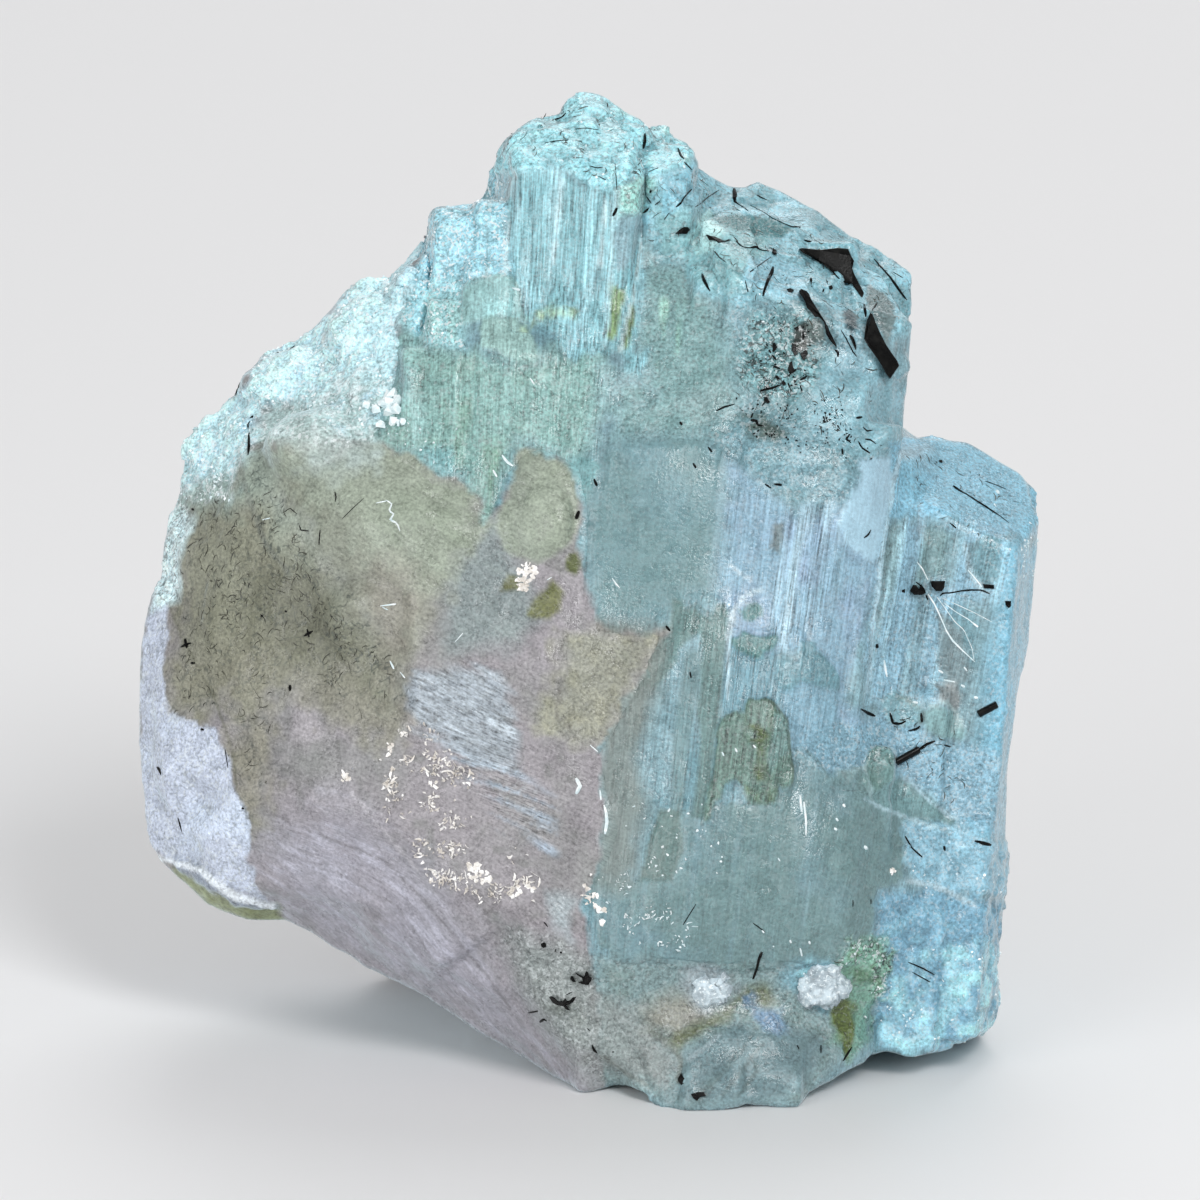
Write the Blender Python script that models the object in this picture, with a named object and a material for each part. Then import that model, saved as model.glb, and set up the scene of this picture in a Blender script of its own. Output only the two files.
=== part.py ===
"""Hand specimen of aquamarine on quartz, with black schorl needles and a little white albite.

The specimen stands on its broken root. Its broad face leans back, and everything is drawn
on that face: u runs to the right, v up the face and w out of it, all in millimetres. An
empty then leans the face back and sets the root on the ground.
"""
import math
import random

import bmesh
import bpy
from mathutils import Matrix, Vector
from mathutils.bvhtree import BVHTree
from mathutils.geometry import delaunay_2d_cdt

# Driving dimensions in millimetres
MM = 0.001
FACE_LEAN = math.radians(15.0)
C_AXIS_LEAN = math.radians(4.5)
TOE_DEPTH = 15.0
CONTACT_GAP = 0.3
TRIM_MARGIN = 0.15
CUTTER_REACH = 60.0
CENTRE_U = 0.83
CENTRE_Y = -8.64

# The chiselled band inside the rim: its width, and how far it goes towards the sheet's depth
FRONT_BAND = (2.2, 0.62)
BACK_BAND = (2.6, 0.60)
BAND_WIDTH_SWING = 0.25
BAND_DEPTH_SWING = 0.2
NEARNESS = 0.5
SHARPEST_MITRE = 0.45

# Cross-section of a prism: how much of its width and depth the side faces take
BEVEL_OF_WIDTH = 0.15
BEVEL_OF_DEPTH = 0.5

# The rim of the broad face, clockwise from the top crystal: (u, v, w)
TOP_CRYSTAL_RIM = (
    (-7.8, 64.8, -3.0), (-7.0, 65.9, -3.0), (-6.3, 67.1, -2.5), (-4.6, 68.3, -2.0),
    (-3.9, 69.1, -1.5), (-2.8, 69.2, -1.5), (-2.2, 69.9, -2.0), (-1.1, 70.6, -2.5),
    (0.3, 70.3, -2.5), (1.5, 69.3, -2.0), (2.8, 68.7, -2.0), (3.4, 68.1, -2.5),
    (4.6, 68.2, -3.0), (6.0, 67.0, -3.5), (6.6, 65.7, -4.0))
RIGHT_CRYSTAL_RIM = (
    (8.7, 64.4, -4.5), (9.8, 64.1, -5.0), (11.0, 64.6, -5.5), (13.0, 63.8, -5.5),
    (15.1, 62.6, -5.0), (17.2, 60.9, -4.5), (19.5, 59.8, -4.0), (21.8, 58.1, -3.0),
    (21.6, 54.5, -3.0), (21.4, 51.4, -4.0), (20.9, 49.3, -5.0), (20.9, 47.5, -6.0))
RIGHT_BLOCK_RIM = (
    (22.2, 46.6, -7.0), (23.2, 46.9, -6.5), (25.6, 46.1, -6.0), (28.0, 44.6, -5.0),
    (29.4, 43.8, -4.0), (30.5, 43.0, -3.0), (30.5, 40.2, -2.0), (30.3, 36.7, -2.0),
    (29.9, 33.2, -2.5), (29.1, 30.2, -3.0), (28.6, 27.9, -3.0), (28.1, 23.4, -2.5),
    (28.0, 18.5, -2.0), (27.9, 14.6, -2.0), (27.4, 10.8, -1.5), (27.4, 6.4, -1.0),
    (26.9, 5.5, -0.5), (25.3, 5.0, 0.0), (23.5, 4.2, 1.5), (21.6, 3.8, 3.0))
FOOT_RIM = (
    (19.9, 4.3, 5.0), (19.3, 4.2, 7.0), (18.3, 3.3, 9.0), (16.5, 2.3, 11.0),
    (14.4, 1.2, 13.0), (13.5, 0.3, 14.0), (11.2, 0.7, 14.5), (9.2, 0.5, 15.0),
    (7.6, 0.1, 15.0), (5.9, 0.0, 15.0), (4.1, 0.6, 14.0), (2.5, 1.6, 12.0),
    (1.3, 1.8, 10.0), (-1.3, 1.2, 11.0), (-2.1, 1.8, 9.0), (-4.6, 3.1, 6.0))
QUARTZ_UNDERSIDE_RIM = (
    (-8.5, 5.4, 4.0), (-12.0, 7.7, 3.0), (-15.5, 9.5, 2.0), (-19.0, 11.4, 1.0),
    (-22.0, 13.0, 0.0), (-24.8, 13.1, 0.0), (-27.4, 14.1, -1.0), (-30.3, 16.7, -2.0))
QUARTZ_LEFT_RIM = (
    (-31.6, 18.3, -2.5), (-31.9, 21.4, -3.0), (-32.2, 25.1, -3.0), (-32.1, 29.0, -3.0),
    (-32.0, 32.5, -3.5), (-31.4, 35.3, -4.0), (-30.6, 37.0, -4.5), (-30.5, 40.2, -5.0),
    (-29.7, 42.3, -5.0), (-29.2, 44.4, -5.5), (-29.5, 46.0, -5.5), (-28.0, 47.7, -5.5),
    (-26.2, 49.2, -5.0), (-24.7, 51.2, -5.0), (-23.5, 52.8, -5.0), (-21.7, 53.5, -5.0),
    (-20.3, 54.5, -4.5), (-17.9, 56.9, -4.5), (-16.5, 57.9, -4.0), (-14.4, 58.0, -4.0),
    (-13.3, 59.4, -4.0), (-12.0, 61.3, -3.5), (-11.4, 62.6, -3.0), (-9.5, 63.0, -3.0),
    (-8.1, 63.1, -3.0))
RIM = (TOP_CRYSTAL_RIM + RIGHT_CRYSTAL_RIM + RIGHT_BLOCK_RIM + FOOT_RIM
       + QUARTZ_UNDERSIDE_RIM + QUARTZ_LEFT_RIM)

# Where the aquamarine meets the quartz, from above the top to below the root: (u, v)
CONTACT = (
    (-11.8, 75.0), (-12.0, 60.8), (-13.9, 54.2), (-14.4, 48.6), (-15.4, 46.3),
    (-11.8, 43.3), (-8.7, 42.4), (-7.6, 40.9), (-6.2, 43.8), (-3.9, 45.6), (-1.5, 44.4),
    (-0.6, 40.9), (-1.1, 35.3), (0.0, 33.0), (4.3, 32.9), (3.4, 30.0), (0.0, 24.6),
    (1.3, 19.2), (-0.6, 14.3), (-0.7, 9.0), (2.5, 4.5), (4.2, 1.3), (4.8, -8.0))

# Corners of the broken front of the quartz: (u, v, w)
QUARTZ_FRONT = (
    (-13.5, 56.0, 2.0), (-17.0, 54.5, 0.0), (-21.0, 51.5, -1.0), (-24.5, 48.5, -1.5),
    (-16.5, 50.5, 4.5), (-20.0, 47.5, 3.0), (-15.5, 46.5, 8.0), (-19.0, 44.0, 7.5),
    (-22.5, 45.0, 3.5), (-24.5, 45.0, 2.0), (-27.0, 44.0, -1.5), (-12.0, 42.0, 10.5),
    (-10.0, 39.5, 11.0), (-13.0, 36.0, 11.0), (-16.0, 40.5, 10.0), (-4.0, 43.5, 10.0),
    (-3.0, 39.0, 11.5), (-6.0, 37.5, 11.0), (-21.5, 39.5, 6.5), (-25.5, 39.0, 3.5),
    (-28.5, 38.5, 0.0), (-19.0, 34.5, 7.5), (-23.0, 33.5, 5.5), (-27.0, 33.0, 3.0),
    (-17.0, 30.5, 8.5), (-21.0, 28.0, 7.0), (-26.0, 28.0, 4.0), (-24.5, 22.0, 5.5),
    (-29.5, 30.0, 1.0), (-29.5, 24.0, 1.5), (-27.5, 19.0, 3.0), (-29.5, 19.5, 0.5),
    (-24.0, 15.5, 3.5), (-26.5, 15.8, 2.0), (-15.0, 27.0, 10.5), (-18.5, 21.0, 9.5),
    (-14.0, 20.0, 12.0), (-20.0, 15.5, 6.5), (-15.5, 14.0, 9.5), (-10.0, 22.5, 13.0),
    (-9.0, 15.5, 13.5), (-11.0, 10.5, 9.5), (-5.0, 8.0, 12.0), (-5.0, 14.0, 14.0),
    (-1.5, 4.5, 13.0), (-12.5, 28.5, 12.0), (-7.0, 27.5, 13.0), (-4.0, 30.5, 13.0),
    (0.5, 31.0, 13.0), (-2.0, 22.0, 14.0), (-1.0, 17.0, 13.5), (-1.5, 11.0, 14.0))

# Corners of the growth surface that the beryl prisms stand out of: (u, v, w)
BERYL_FRONT = (
    (-9.5, 60.0, 2.0), (-5.0, 64.0, 3.5), (0.0, 65.0, 4.0), (4.5, 64.5, 2.5),
    (-4.0, 58.0, 5.0), (1.5, 58.0, 4.8), (-10.5, 53.0, 5.5), (6.0, 59.0, 4.0),
    (-11.0, 48.5, 7.8), (-5.0, 49.0, 8.6), (1.0, 50.0, 8.8), (10.0, 61.0, 0.5),
    (14.0, 60.0, 1.0), (18.0, 58.0, 0.5), (9.0, 55.5, 6.0), (14.0, 55.0, 7.2),
    (19.0, 54.0, 4.5), (19.5, 50.5, 5.5), (8.0, 50.5, 8.4), (14.0, 50.0, 9.2),
    (4.0, 46.0, 10.6), (11.0, 45.0, 10.2), (18.0, 46.0, 8.8), (22.5, 44.0, 1.0),
    (27.0, 42.5, 0.5), (24.0, 40.0, 5.8), (28.5, 38.5, 3.6), (23.0, 34.0, 6.2),
    (28.0, 33.0, 4.2), (22.0, 28.0, 7.0), (26.5, 27.0, 5.0), (22.5, 22.0, 6.8),
    (26.0, 20.0, 5.2), (23.0, 15.0, 7.2), (26.0, 12.0, 4.8), (22.0, 8.0, 7.4),
    (25.5, 7.5, 4.0), (2.0, 40.0, 11.2), (8.0, 38.0, 11.2), (14.0, 38.0, 10.9),
    (18.0, 36.0, 10.4), (2.5, 35.5, 11.6), (16.0, 30.0, 11.2), (6.0, 30.0, 12.9),
    (11.0, 28.0, 13.2), (15.0, 24.0, 12.4), (18.0, 24.0, 9.6), (3.0, 24.0, 13.2),
    (9.0, 20.0, 14.4), (16.0, 20.0, 13.0), (18.0, 14.0, 12.0), (12.0, 12.2, 14.0),
    (6.0, 12.0, 14.2), (16.5, 11.4, 13.0), (5.0, 10.0, 12.4), (10.5, 10.0, 12.0),
    (15.5, 9.6, 11.6), (2.0, 18.0, 13.4), (8.0, 7.4, 11.8), (14.0, 7.4, 11.4),
    (18.0, 8.0, 9.6), (4.0, 5.0, 13.4), (9.0, 4.4, 14.2), (14.0, 3.5, 13.2))

# Corners of the back, which the specimen was broken from the rock along: (u, v, w)
BACK = (
    (-28.0, 40.0, -11.0), (-22.0, 47.0, -11.0), (-15.0, 53.0, -10.0), (-27.0, 31.0, -14.0),
    (-20.0, 38.0, -17.0), (-13.0, 45.0, -15.0), (-28.0, 22.0, -12.0), (-21.0, 27.0, -18.0),
    (-13.0, 33.0, -19.0), (-24.0, 17.0, -12.0), (-16.0, 19.0, -18.0), (-8.0, 25.0, -19.5),
    (-18.0, 13.5, -14.0), (-10.0, 12.0, -19.0), (-6.0, 60.0, -9.0), (1.0, 62.0, -10.0),
    (9.0, 59.0, -12.0), (17.0, 56.0, -11.0), (-6.0, 50.0, -14.0), (3.0, 52.0, -15.0),
    (12.0, 50.0, -16.0), (18.0, 47.0, -12.0), (-4.0, 40.0, -18.0), (6.0, 41.0, -19.0),
    (15.0, 38.0, -18.0), (24.0, 41.0, -12.0), (27.0, 34.0, -11.0), (0.0, 30.0, -20.0),
    (10.0, 29.0, -20.0), (20.0, 28.0, -16.0), (26.0, 24.0, -12.0), (3.0, 18.0, -20.0),
    (13.0, 17.0, -19.5), (22.0, 15.0, -15.0), (-2.0, 9.0, -19.0), (6.0, 7.0, -19.5),
    (14.0, 7.0, -19.0), (22.0, 8.0, -15.0), (-4.2, 4.2, -8.0), (-8.0, 6.4, -14.0),
    (-11.6, 8.6, -18.0), (-14.6, 10.4, -18.5), (-5.0, 7.0, -19.0))

# Beryl prisms on the front: middle u, front w, width, depth, v of the front top edge,
# v of the lower end, v of the flat crown, tilt of the top to the front and to the right
BERYL_PRISMS = (
    # top crystal, its left shoulder and its right companion
    (-1.8, 5.4, 10.5, 12.0, 65.2, 50.0, 68.2, 38, 0),
    (0.9, 5.9, 4.2, 8.0, 64.2, 52.0, 66.4, 38, 12),
    (-9.6, 3.6, 4.8, 8.0, 61.4, 46.0, 62.4, 30, -8),
    (-7.4, 4.6, 3.0, 8.0, 62.2, 46.0, 63.0, 30, -6),
    (4.9, 4.2, 3.8, 7.0, 64.6, 50.0, 66.6, 35, 12),
    # towers at the foot of the striated face
    (-7.6, 7.4, 3.6, 6.0, 57.8, 46.0, 58.8, 35, 5),
    (-10.4, 6.8, 3.2, 6.0, 55.0, 46.0, 56.0, 35, -6),
    (-1.8, 7.4, 4.6, 6.0, 55.2, 46.0, 56.4, 40, 8),
    (-11.6, 8.5, 4.8, 7.0, 51.6, 44.5, 52.6, 35, -10),
    (-5.6, 9.2, 7.2, 7.0, 52.4, 44.5, 53.6, 40, 5),
    (0.7, 9.5, 5.4, 7.0, 51.2, 37.0, 52.6, 40, 8),
    # right top crystal with its slanted end
    (14.2, 7.6, 15.0, 7.5, 55.6, 42.0, 62.0, 35, 22),
    (8.6, 6.8, 5.4, 8.0, 57.2, 44.0, 60.4, 35, 0),
    (19.2, 6.2, 3.6, 6.0, 53.6, 42.0, 56.0, 35, 25),
    (9.6, 9.4, 6.4, 7.0, 50.8, 38.0, 52.2, 45, -6),
    (15.8, 9.8, 6.6, 7.0, 49.6, 38.0, 51.2, 45, 10),
    # smooth prism in the middle and the striated prism beside it
    (4.4, 11.8, 9.8, 9.0, 45.0, 24.0, 47.2, 50, 0),
    (14.7, 11.5, 12.2, 9.0, 45.4, 22.0, 47.8, 50, 8),
    (11.6, 11.9, 4.4, 6.0, 43.0, 30.0, 44.6, 50, -8),
    # right block
    (25.2, 6.6, 10.6, 11.0, 40.6, 4.0, 46.2, 30, 24),
    (22.4, 7.8, 4.6, 8.0, 28.6, 13.0, 29.6, 35, 5),
    (25.6, 6.4, 4.6, 8.0, 27.9, 13.0, 28.8, 35, 5),
    (24.8, 7.4, 6.2, 8.0, 19.8, 5.0, 20.8, 35, 5),
    (22.0, 8.2, 5.2, 8.0, 15.0, 3.6, 16.0, 40, 8),
    # battlements in front of the striated prism
    (6.9, 13.4, 4.0, 7.0, 34.8, 10.0, 35.6, 40, 0),
    (10.3, 13.6, 3.6, 7.0, 32.5, 10.0, 33.2, 40, 5),
    (13.0, 13.4, 2.6, 7.0, 32.5, 10.0, 33.2, 40, 0),
    (15.3, 13.1, 3.0, 7.0, 30.4, 14.0, 31.2, 40, 10),
    (3.6, 13.8, 4.4, 7.0, 30.4, 10.0, 31.4, 40, -10),
    # castle with its tower, and a small castle to the right
    (9.4, 14.4, 2.4, 4.0, 26.6, 16.0, 27.0, 30, 0),
    (11.2, 14.8, 2.2, 4.0, 28.0, 16.0, 28.4, 30, 0),
    (12.7, 14.4, 1.8, 4.0, 26.4, 17.0, 26.8, 30, 5),
    (19.4, 10.4, 2.2, 4.0, 24.6, 18.0, 25.0, 30, 0),
    # smooth foot, whose lower end is a ledge above the albite
    (7.2, 15.0, 8.6, 8.0, 21.0, 10.6, 22.4, 50, -8),
    (14.6, 14.2, 8.6, 8.0, 20.4, 10.4, 22.0, 50, 6),
    (2.2, 14.2, 4.4, 6.0, 23.0, 10.0, 24.4, 45, -10),
    # ribbed toe
    (8.0, 15.0, 5.2, 6.0, 4.9, 0.1, 5.6, 50, 5),
    (12.4, 14.4, 4.4, 6.0, 4.3, 0.4, 5.0, 50, 8))

# Beryl prisms of the back, each a little wider, higher or further out than the next
BACK_PRISM_COUNT = 10
BACK_PRISM_FIRST_U = -6.5
BACK_PRISM_STEP = 3.4
BACK_PRISM_FOOT = 11.0
BACK_PRISM_TOP = 46.0
BACK_PRISM_TOP_SWING = 6.0
BACK_PRISM_REAR = -20.5
BACK_PRISM_REAR_SWING = 0.8
BACK_PRISM_WIDTH = 4.2
BACK_PRISM_WIDTH_SWING = 0.9
BACK_PRISM_DEPTH = 7.0
BACK_PRISM_CROWN = 0.5
BACK_PRISM_TILT = -30
BACK_PRISM_ROLL = 4
BACK_SLOPE_U = 12.0
BACK_SLOPE_REAR = 0.55
BACK_SLOPE_TOP = 0.5

# Quartz lobes: middle u, v, w and half sizes along u, v, w
QUARTZ_LOBES = (
    (-11.4, 39.8, 7.2, 5.6, 5.2, 4.4), (-14.6, 34.2, 6.2, 6.0, 5.6, 5.0),
    (-3.4, 40.0, 7.6, 3.8, 5.8, 4.6), (-17.6, 45.4, 3.8, 6.4, 3.8, 4.4),
    (-9.6, 27.2, 8.6, 7.0, 6.0, 4.8), (-2.4, 30.2, 9.2, 6.2, 5.0, 4.4),
    (-20.8, 50.4, -3.2, 5.2, 2.8, 3.8), (-15.4, 53.4, -1.4, 4.2, 3.6, 4.0),
    (-27.6, 24.6, -1.6, 4.0, 8.0, 4.2), (-20.0, 33.0, -14.0, 6.0, 6.5, 5.0),
    (-12.0, 20.0, -15.5, 6.0, 5.5, 4.5), (-22.0, 22.0, -12.0, 4.5, 5.0, 4.0))

# The large broken schorl mass: corners on the face, and thickness
SCHORL_MASS = ((14.0, 59.9), (17.4, 59.8), (17.8, 58.9), (18.4, 56.5), (17.0, 57.4),
               (15.3, 58.8))
SCHORL_MASS_THICKNESS = 2.4
SCHORL_MASS_LIFT = 0.5
SCHORL_LIFT_OF_WIDTH = 0.12

# Schorl prisms: u and v of both ends, and width
SCHORL_IN_BERYL = (
    (18.8, 55.1, 20.6, 51.2, 1.4), (14.0, 57.0, 15.3, 55.2, 0.6), (15.5, 54.9, 16.7, 53.2, 0.45),
    (5.3, 61.0, 6.3, 61.2, 0.5), (7.4, 60.8, 8.8, 60.3, 0.45), (23.1, 36.3, 24.1, 36.3, 0.7),
    (21.8, 36.0, 22.8, 36.1, 0.6), (24.7, 35.8, 27.6, 36.2, 0.4), (26.4, 27.3, 27.9, 28.0, 0.5),
    (20.7, 23.9, 22.4, 24.9, 0.55))
SCHORL_IN_QUARTZ = ((-2.2, 8.9, -0.9, 8.9, 0.9), (-3.4, 7.3, -2.0, 7.4, 0.8))

# White albite lumps on the ledge at the foot: middle u, v and half sizes along u, v, w
ALBITE_LUMPS = ((7.8, 8.5, 1.9, 1.2, 1.5), (15.2, 8.6, 1.9, 1.6, 1.5))
ALBITE_SINK = 0.1
ALBITE_SEED = 40
POCKET_GROWTH = 1.6 * CONTACT_GAP

# A broken lump: corners of its hull, and how uneven they are
LUMP_CORNERS = 26
LUMP_INNERMOST = 0.86
LUMP_TURN = 0.3


def face_point(u, v, w):
    """A point of the broad face's frame in metres: x right, y into the face, z up it."""
    return Vector((u, -w, v)) * MM


def new_object(name, mesh_data):
    """Add a bmesh to the scene as an object and free it."""
    bmesh.ops.recalc_face_normals(mesh_data, faces=mesh_data.faces[:])
    mesh = bpy.data.meshes.new(name)
    mesh_data.to_mesh(mesh)
    mesh_data.free()
    obj = bpy.data.objects.new(name, mesh)
    bpy.context.scene.collection.objects.link(obj)
    return obj


def combine(base, tools, operation):
    """Join, cut or clip an object with others by exact Booleans, then remove the others."""
    for tool in tools:
        step = base.modifiers.new(operation.title(), "BOOLEAN")
        step.operation = operation
        step.solver = "EXACT"
        step.object = tool
        tool.hide_render = True
        tool.display_type = "WIRE"
    graph = bpy.context.evaluated_depsgraph_get()
    mesh = bpy.data.meshes.new_from_object(base.evaluated_get(graph))
    base.modifiers.clear()
    base.data = mesh
    for tool in tools:
        bpy.data.objects.remove(tool)


def keep_largest_body(obj):
    """Drop chips that a cut has parted from the main body."""
    work = bmesh.new()
    work.from_mesh(obj.data)
    bodies = []
    unseen = set(work.verts)
    while unseen:
        body = {unseen.pop()}
        front_line = list(body)
        while front_line:
            vert = front_line.pop()
            near = {edge.other_vert(vert) for edge in vert.link_edges} - body
            body |= near
            front_line.extend(near)
        unseen -= body
        bodies.append(body)
    bodies.sort(key=len)
    for chip in bodies[:-1]:
        bmesh.ops.delete(work, geom=list(chip), context="VERTS")
    work.to_mesh(obj.data)
    work.free()


def nearby_depth(u, v, corners):
    """Depth of a sheet near a point, as the mean of its corners weighed by nearness."""
    total = 0.0
    weight_sum = 0.0
    for corner_u, corner_v, corner_w in corners:
        weight = 1.0 / (NEARNESS + (corner_u - u) ** 2 + (corner_v - v) ** 2) ** 2
        total += weight * corner_w
        weight_sum += weight
    return total / weight_sum


def inward_band(rim, corners, width, share):
    """Points a little inside every second rim point, part of the way to the sheet's depth."""
    band = []
    for i in range(0, len(rim), 2):
        before = Vector(rim[i - 1][:2])
        after = Vector(rim[(i + 1) % len(rim)][:2])
        along = (after - before).normalized()
        inward = Vector((along.y, -along.x))
        step = width * (1.0 + BAND_WIDTH_SWING * math.sin(2.1 * i))
        spot = Vector(rim[i][:2]) + inward * step
        reach = share * (1.0 + BAND_DEPTH_SWING * math.sin(1.3 * i))
        depth = rim[i][2] + reach * (nearby_depth(spot.x, spot.y, corners) - rim[i][2])
        band.append((spot.x, spot.y, depth))
    return band


def sheet_triangles(rim, inner):
    """Triangles over the rim's outline and the points inside it, as index triples."""
    flat = [Vector(point[:2]) for point in list(rim) + list(inner)]
    outline = [(i, (i + 1) % len(rim)) for i in range(len(rim))]
    inside_only = 1
    result = delaunay_2d_cdt(flat, outline, [], inside_only, 1e-5)
    faces = result[2]
    origin = result[3]
    return [[origin[corner][0] for corner in face] for face in faces]


def lump_of_two_sheets(name):
    """The whole specimen without its crystals: a front and a back sheet on one rim."""
    front_corners = QUARTZ_FRONT + BERYL_FRONT
    front = inward_band(RIM, front_corners, *FRONT_BAND) + list(front_corners)
    back = inward_band(RIM, BACK, *BACK_BAND) + list(BACK)
    work = bmesh.new()
    rim_verts = [work.verts.new(face_point(*point)) for point in RIM]
    for inner in (front, back):
        verts = rim_verts + [work.verts.new(face_point(*point)) for point in inner]
        for triangle in sheet_triangles(RIM, inner):
            work.faces.new([verts[corner] for corner in triangle])
    loose = [vert for vert in work.verts if not vert.link_faces]
    bmesh.ops.delete(work, geom=loose, context="VERTS")
    return new_object(name, work)


def extruded_outline(name, outline, near, far):
    """A straight block through the specimen, drawn as an outline on its broad face."""
    work = bmesh.new()
    ring = [work.verts.new(face_point(u, v, near)) for u, v in outline]
    face = work.faces.new(ring)
    moved = bmesh.ops.extrude_face_region(work, geom=[face])["geom"]
    verts = [item for item in moved if isinstance(item, bmesh.types.BMVert)]
    bmesh.ops.translate(work, verts=verts, vec=face_point(0.0, 0.0, far - near))
    bmesh.ops.triangulate(work, faces=work.faces[:])
    return new_object(name, work)


def offset_line(points, distance, closed):
    """Shift a line sideways, to the right of its direction, with mitred corners."""
    count = len(points)
    shifted = []
    for i in range(count):
        before = Vector(points[i - 1] if closed or i > 0 else points[0])
        here = Vector(points[i])
        after = Vector(points[(i + 1) % count] if closed or i < count - 1 else points[-1])
        first = (here - before) if (here - before).length else (after - here)
        second = (after - here) if (after - here).length else (here - before)
        side_1 = Vector((first.y, -first.x)).normalized()
        side_2 = Vector((second.y, -second.x)).normalized()
        mitre = (side_1 + side_2).normalized()
        stretch = 1.0 / max(SHARPEST_MITRE, mitre.dot(side_1))
        shifted.append(tuple(here + mitre * distance * stretch))
    return shifted


def part_of_contact(name, side):
    """The block of space that one mineral fills: side 1 is the beryl, -1 the quartz."""
    wall = offset_line(CONTACT, -side * 0.5 * CONTACT_GAP, False)
    far_u = CUTTER_REACH * side
    outline = wall + [(far_u, wall[-1][1]), (far_u, wall[0][1])]
    return extruded_outline(name, outline, -CUTTER_REACH, CUTTER_REACH)


def silhouette_block(name):
    """The outline a little enlarged, which trims crystals that would stick out past it."""
    outline = offset_line([point[:2] for point in RIM], -TRIM_MARGIN, True)
    return extruded_outline(name, outline, -CUTTER_REACH, CUTTER_REACH)


def ground_block(name):
    """Everything below the plane that the root is cut off along."""
    work = bmesh.new()
    bmesh.ops.create_cube(work, size=2.0 * CUTTER_REACH * MM)
    bmesh.ops.translate(work, verts=work.verts[:], vec=(0.0, 0.0, -CUTTER_REACH * MM))
    bmesh.ops.rotate(work, verts=work.verts[:], matrix=Matrix.Rotation(FACE_LEAN, 3, "X"))
    bmesh.ops.translate(work, verts=work.verts[:], vec=face_point(0.0, 0.0, TOE_DEPTH))
    return new_object(name, work)


def beryl_prism(name, middle, front, width, depth, top, foot, crown, tilt, roll):
    """A six-sided prism along the c axis, with a slanted top and a flat crown."""
    axis = Vector((math.sin(C_AXIS_LEAN), math.cos(C_AXIS_LEAN)))
    side = Vector((axis.y, -axis.x))
    half = 0.5 * width
    bevel = BEVEL_OF_WIDTH * width
    waist = -BEVEL_OF_DEPTH * depth
    section = ((-half, waist), (bevel - half, 0.0), (half - bevel, 0.0),
               (half, waist), (half - bevel, -depth), (bevel - half, -depth))
    work = bmesh.new()
    rings = []
    for height in (foot, crown):
        centre = Vector((middle, top)) + axis * (height - top) / axis.y
        ring = []
        for across, inward in section:
            spot = centre + side * across
            ring.append(work.verts.new(face_point(spot.x, spot.y, front + inward)))
        rings.append(ring)
    for i in range(6):
        j = (i + 1) % 6
        work.faces.new((rings[0][i], rings[0][j], rings[1][j], rings[1][i]))
    work.faces.new(rings[0])
    work.faces.new(rings[1])
    tilt = math.radians(tilt)
    roll = math.radians(roll)
    normal = face_point(math.sin(roll), math.cos(roll) * math.cos(tilt),
                        math.cos(roll) * math.sin(tilt)).normalized()
    cut = bmesh.ops.bisect_plane(
        work, geom=work.verts[:] + work.edges[:] + work.faces[:],
        plane_co=face_point(middle, top, front), plane_no=normal, clear_outer=True)
    open_edges = [item for item in cut["geom_cut"] if isinstance(item, bmesh.types.BMEdge)]
    bmesh.ops.edgeloop_fill(work, edges=open_edges)
    return new_object(name, work)


def back_prisms():
    """Parallel prisms that the back of the beryl broke along."""
    prisms = []
    for i in range(BACK_PRISM_COUNT):
        middle = BACK_PRISM_FIRST_U + BACK_PRISM_STEP * i
        past = max(0.0, middle - BACK_SLOPE_U)
        width = BACK_PRISM_WIDTH + BACK_PRISM_WIDTH_SWING * math.sin(2.3 * i)
        rear = BACK_PRISM_REAR + BACK_SLOPE_REAR * past + BACK_PRISM_REAR_SWING * math.sin(1.9 * i)
        top = BACK_PRISM_TOP - BACK_SLOPE_TOP * past + BACK_PRISM_TOP_SWING * math.sin(1.4 * i)
        prisms.append(beryl_prism(
            "back prism", middle, rear + BACK_PRISM_DEPTH, width, BACK_PRISM_DEPTH, top,
            BACK_PRISM_FOOT, top + BACK_PRISM_CROWN, BACK_PRISM_TILT, BACK_PRISM_ROLL))
    return prisms


def faceted_lump(name, middle, half_sizes, seed):
    """A convex broken lump: the hull of uneven points on an ellipsoid."""
    numbers = random.Random(seed)
    work = bmesh.new()
    golden_angle = math.pi * (3.0 - math.sqrt(5.0))
    for i in range(LUMP_CORNERS):
        height = 1.0 - 2.0 * (i + 0.5) / LUMP_CORNERS
        ring = math.sqrt(1.0 - height * height)
        angle = golden_angle * i + numbers.uniform(-LUMP_TURN, LUMP_TURN)
        reach = numbers.uniform(LUMP_INNERMOST, 1.0)
        u = middle[0] + half_sizes[0] * reach * ring * math.cos(angle)
        v = middle[1] + half_sizes[1] * reach * ring * math.sin(angle)
        w = middle[2] + half_sizes[2] * reach * height
        work.verts.new(face_point(u, v, w))
    hull = bmesh.ops.convex_hull(work, input=work.verts[:])
    spare = [item for item in hull["geom_interior"] if isinstance(item, bmesh.types.BMVert)]
    bmesh.ops.delete(work, geom=spare, context="VERTS")
    return new_object(name, work)


def surface_tree(obj):
    """A search tree over an object's faces, to find its surface."""
    work = bmesh.new()
    work.from_mesh(obj.data)
    tree = BVHTree.FromBMesh(work)
    work.free()
    return tree


def surface_depth(tree, u, v):
    """How far out of the broad face the surface lies at a spot."""
    hit = tree.ray_cast(face_point(u, v, CUTTER_REACH), Vector((0.0, 1.0, 0.0)))[0]
    return -hit.y / MM


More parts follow.
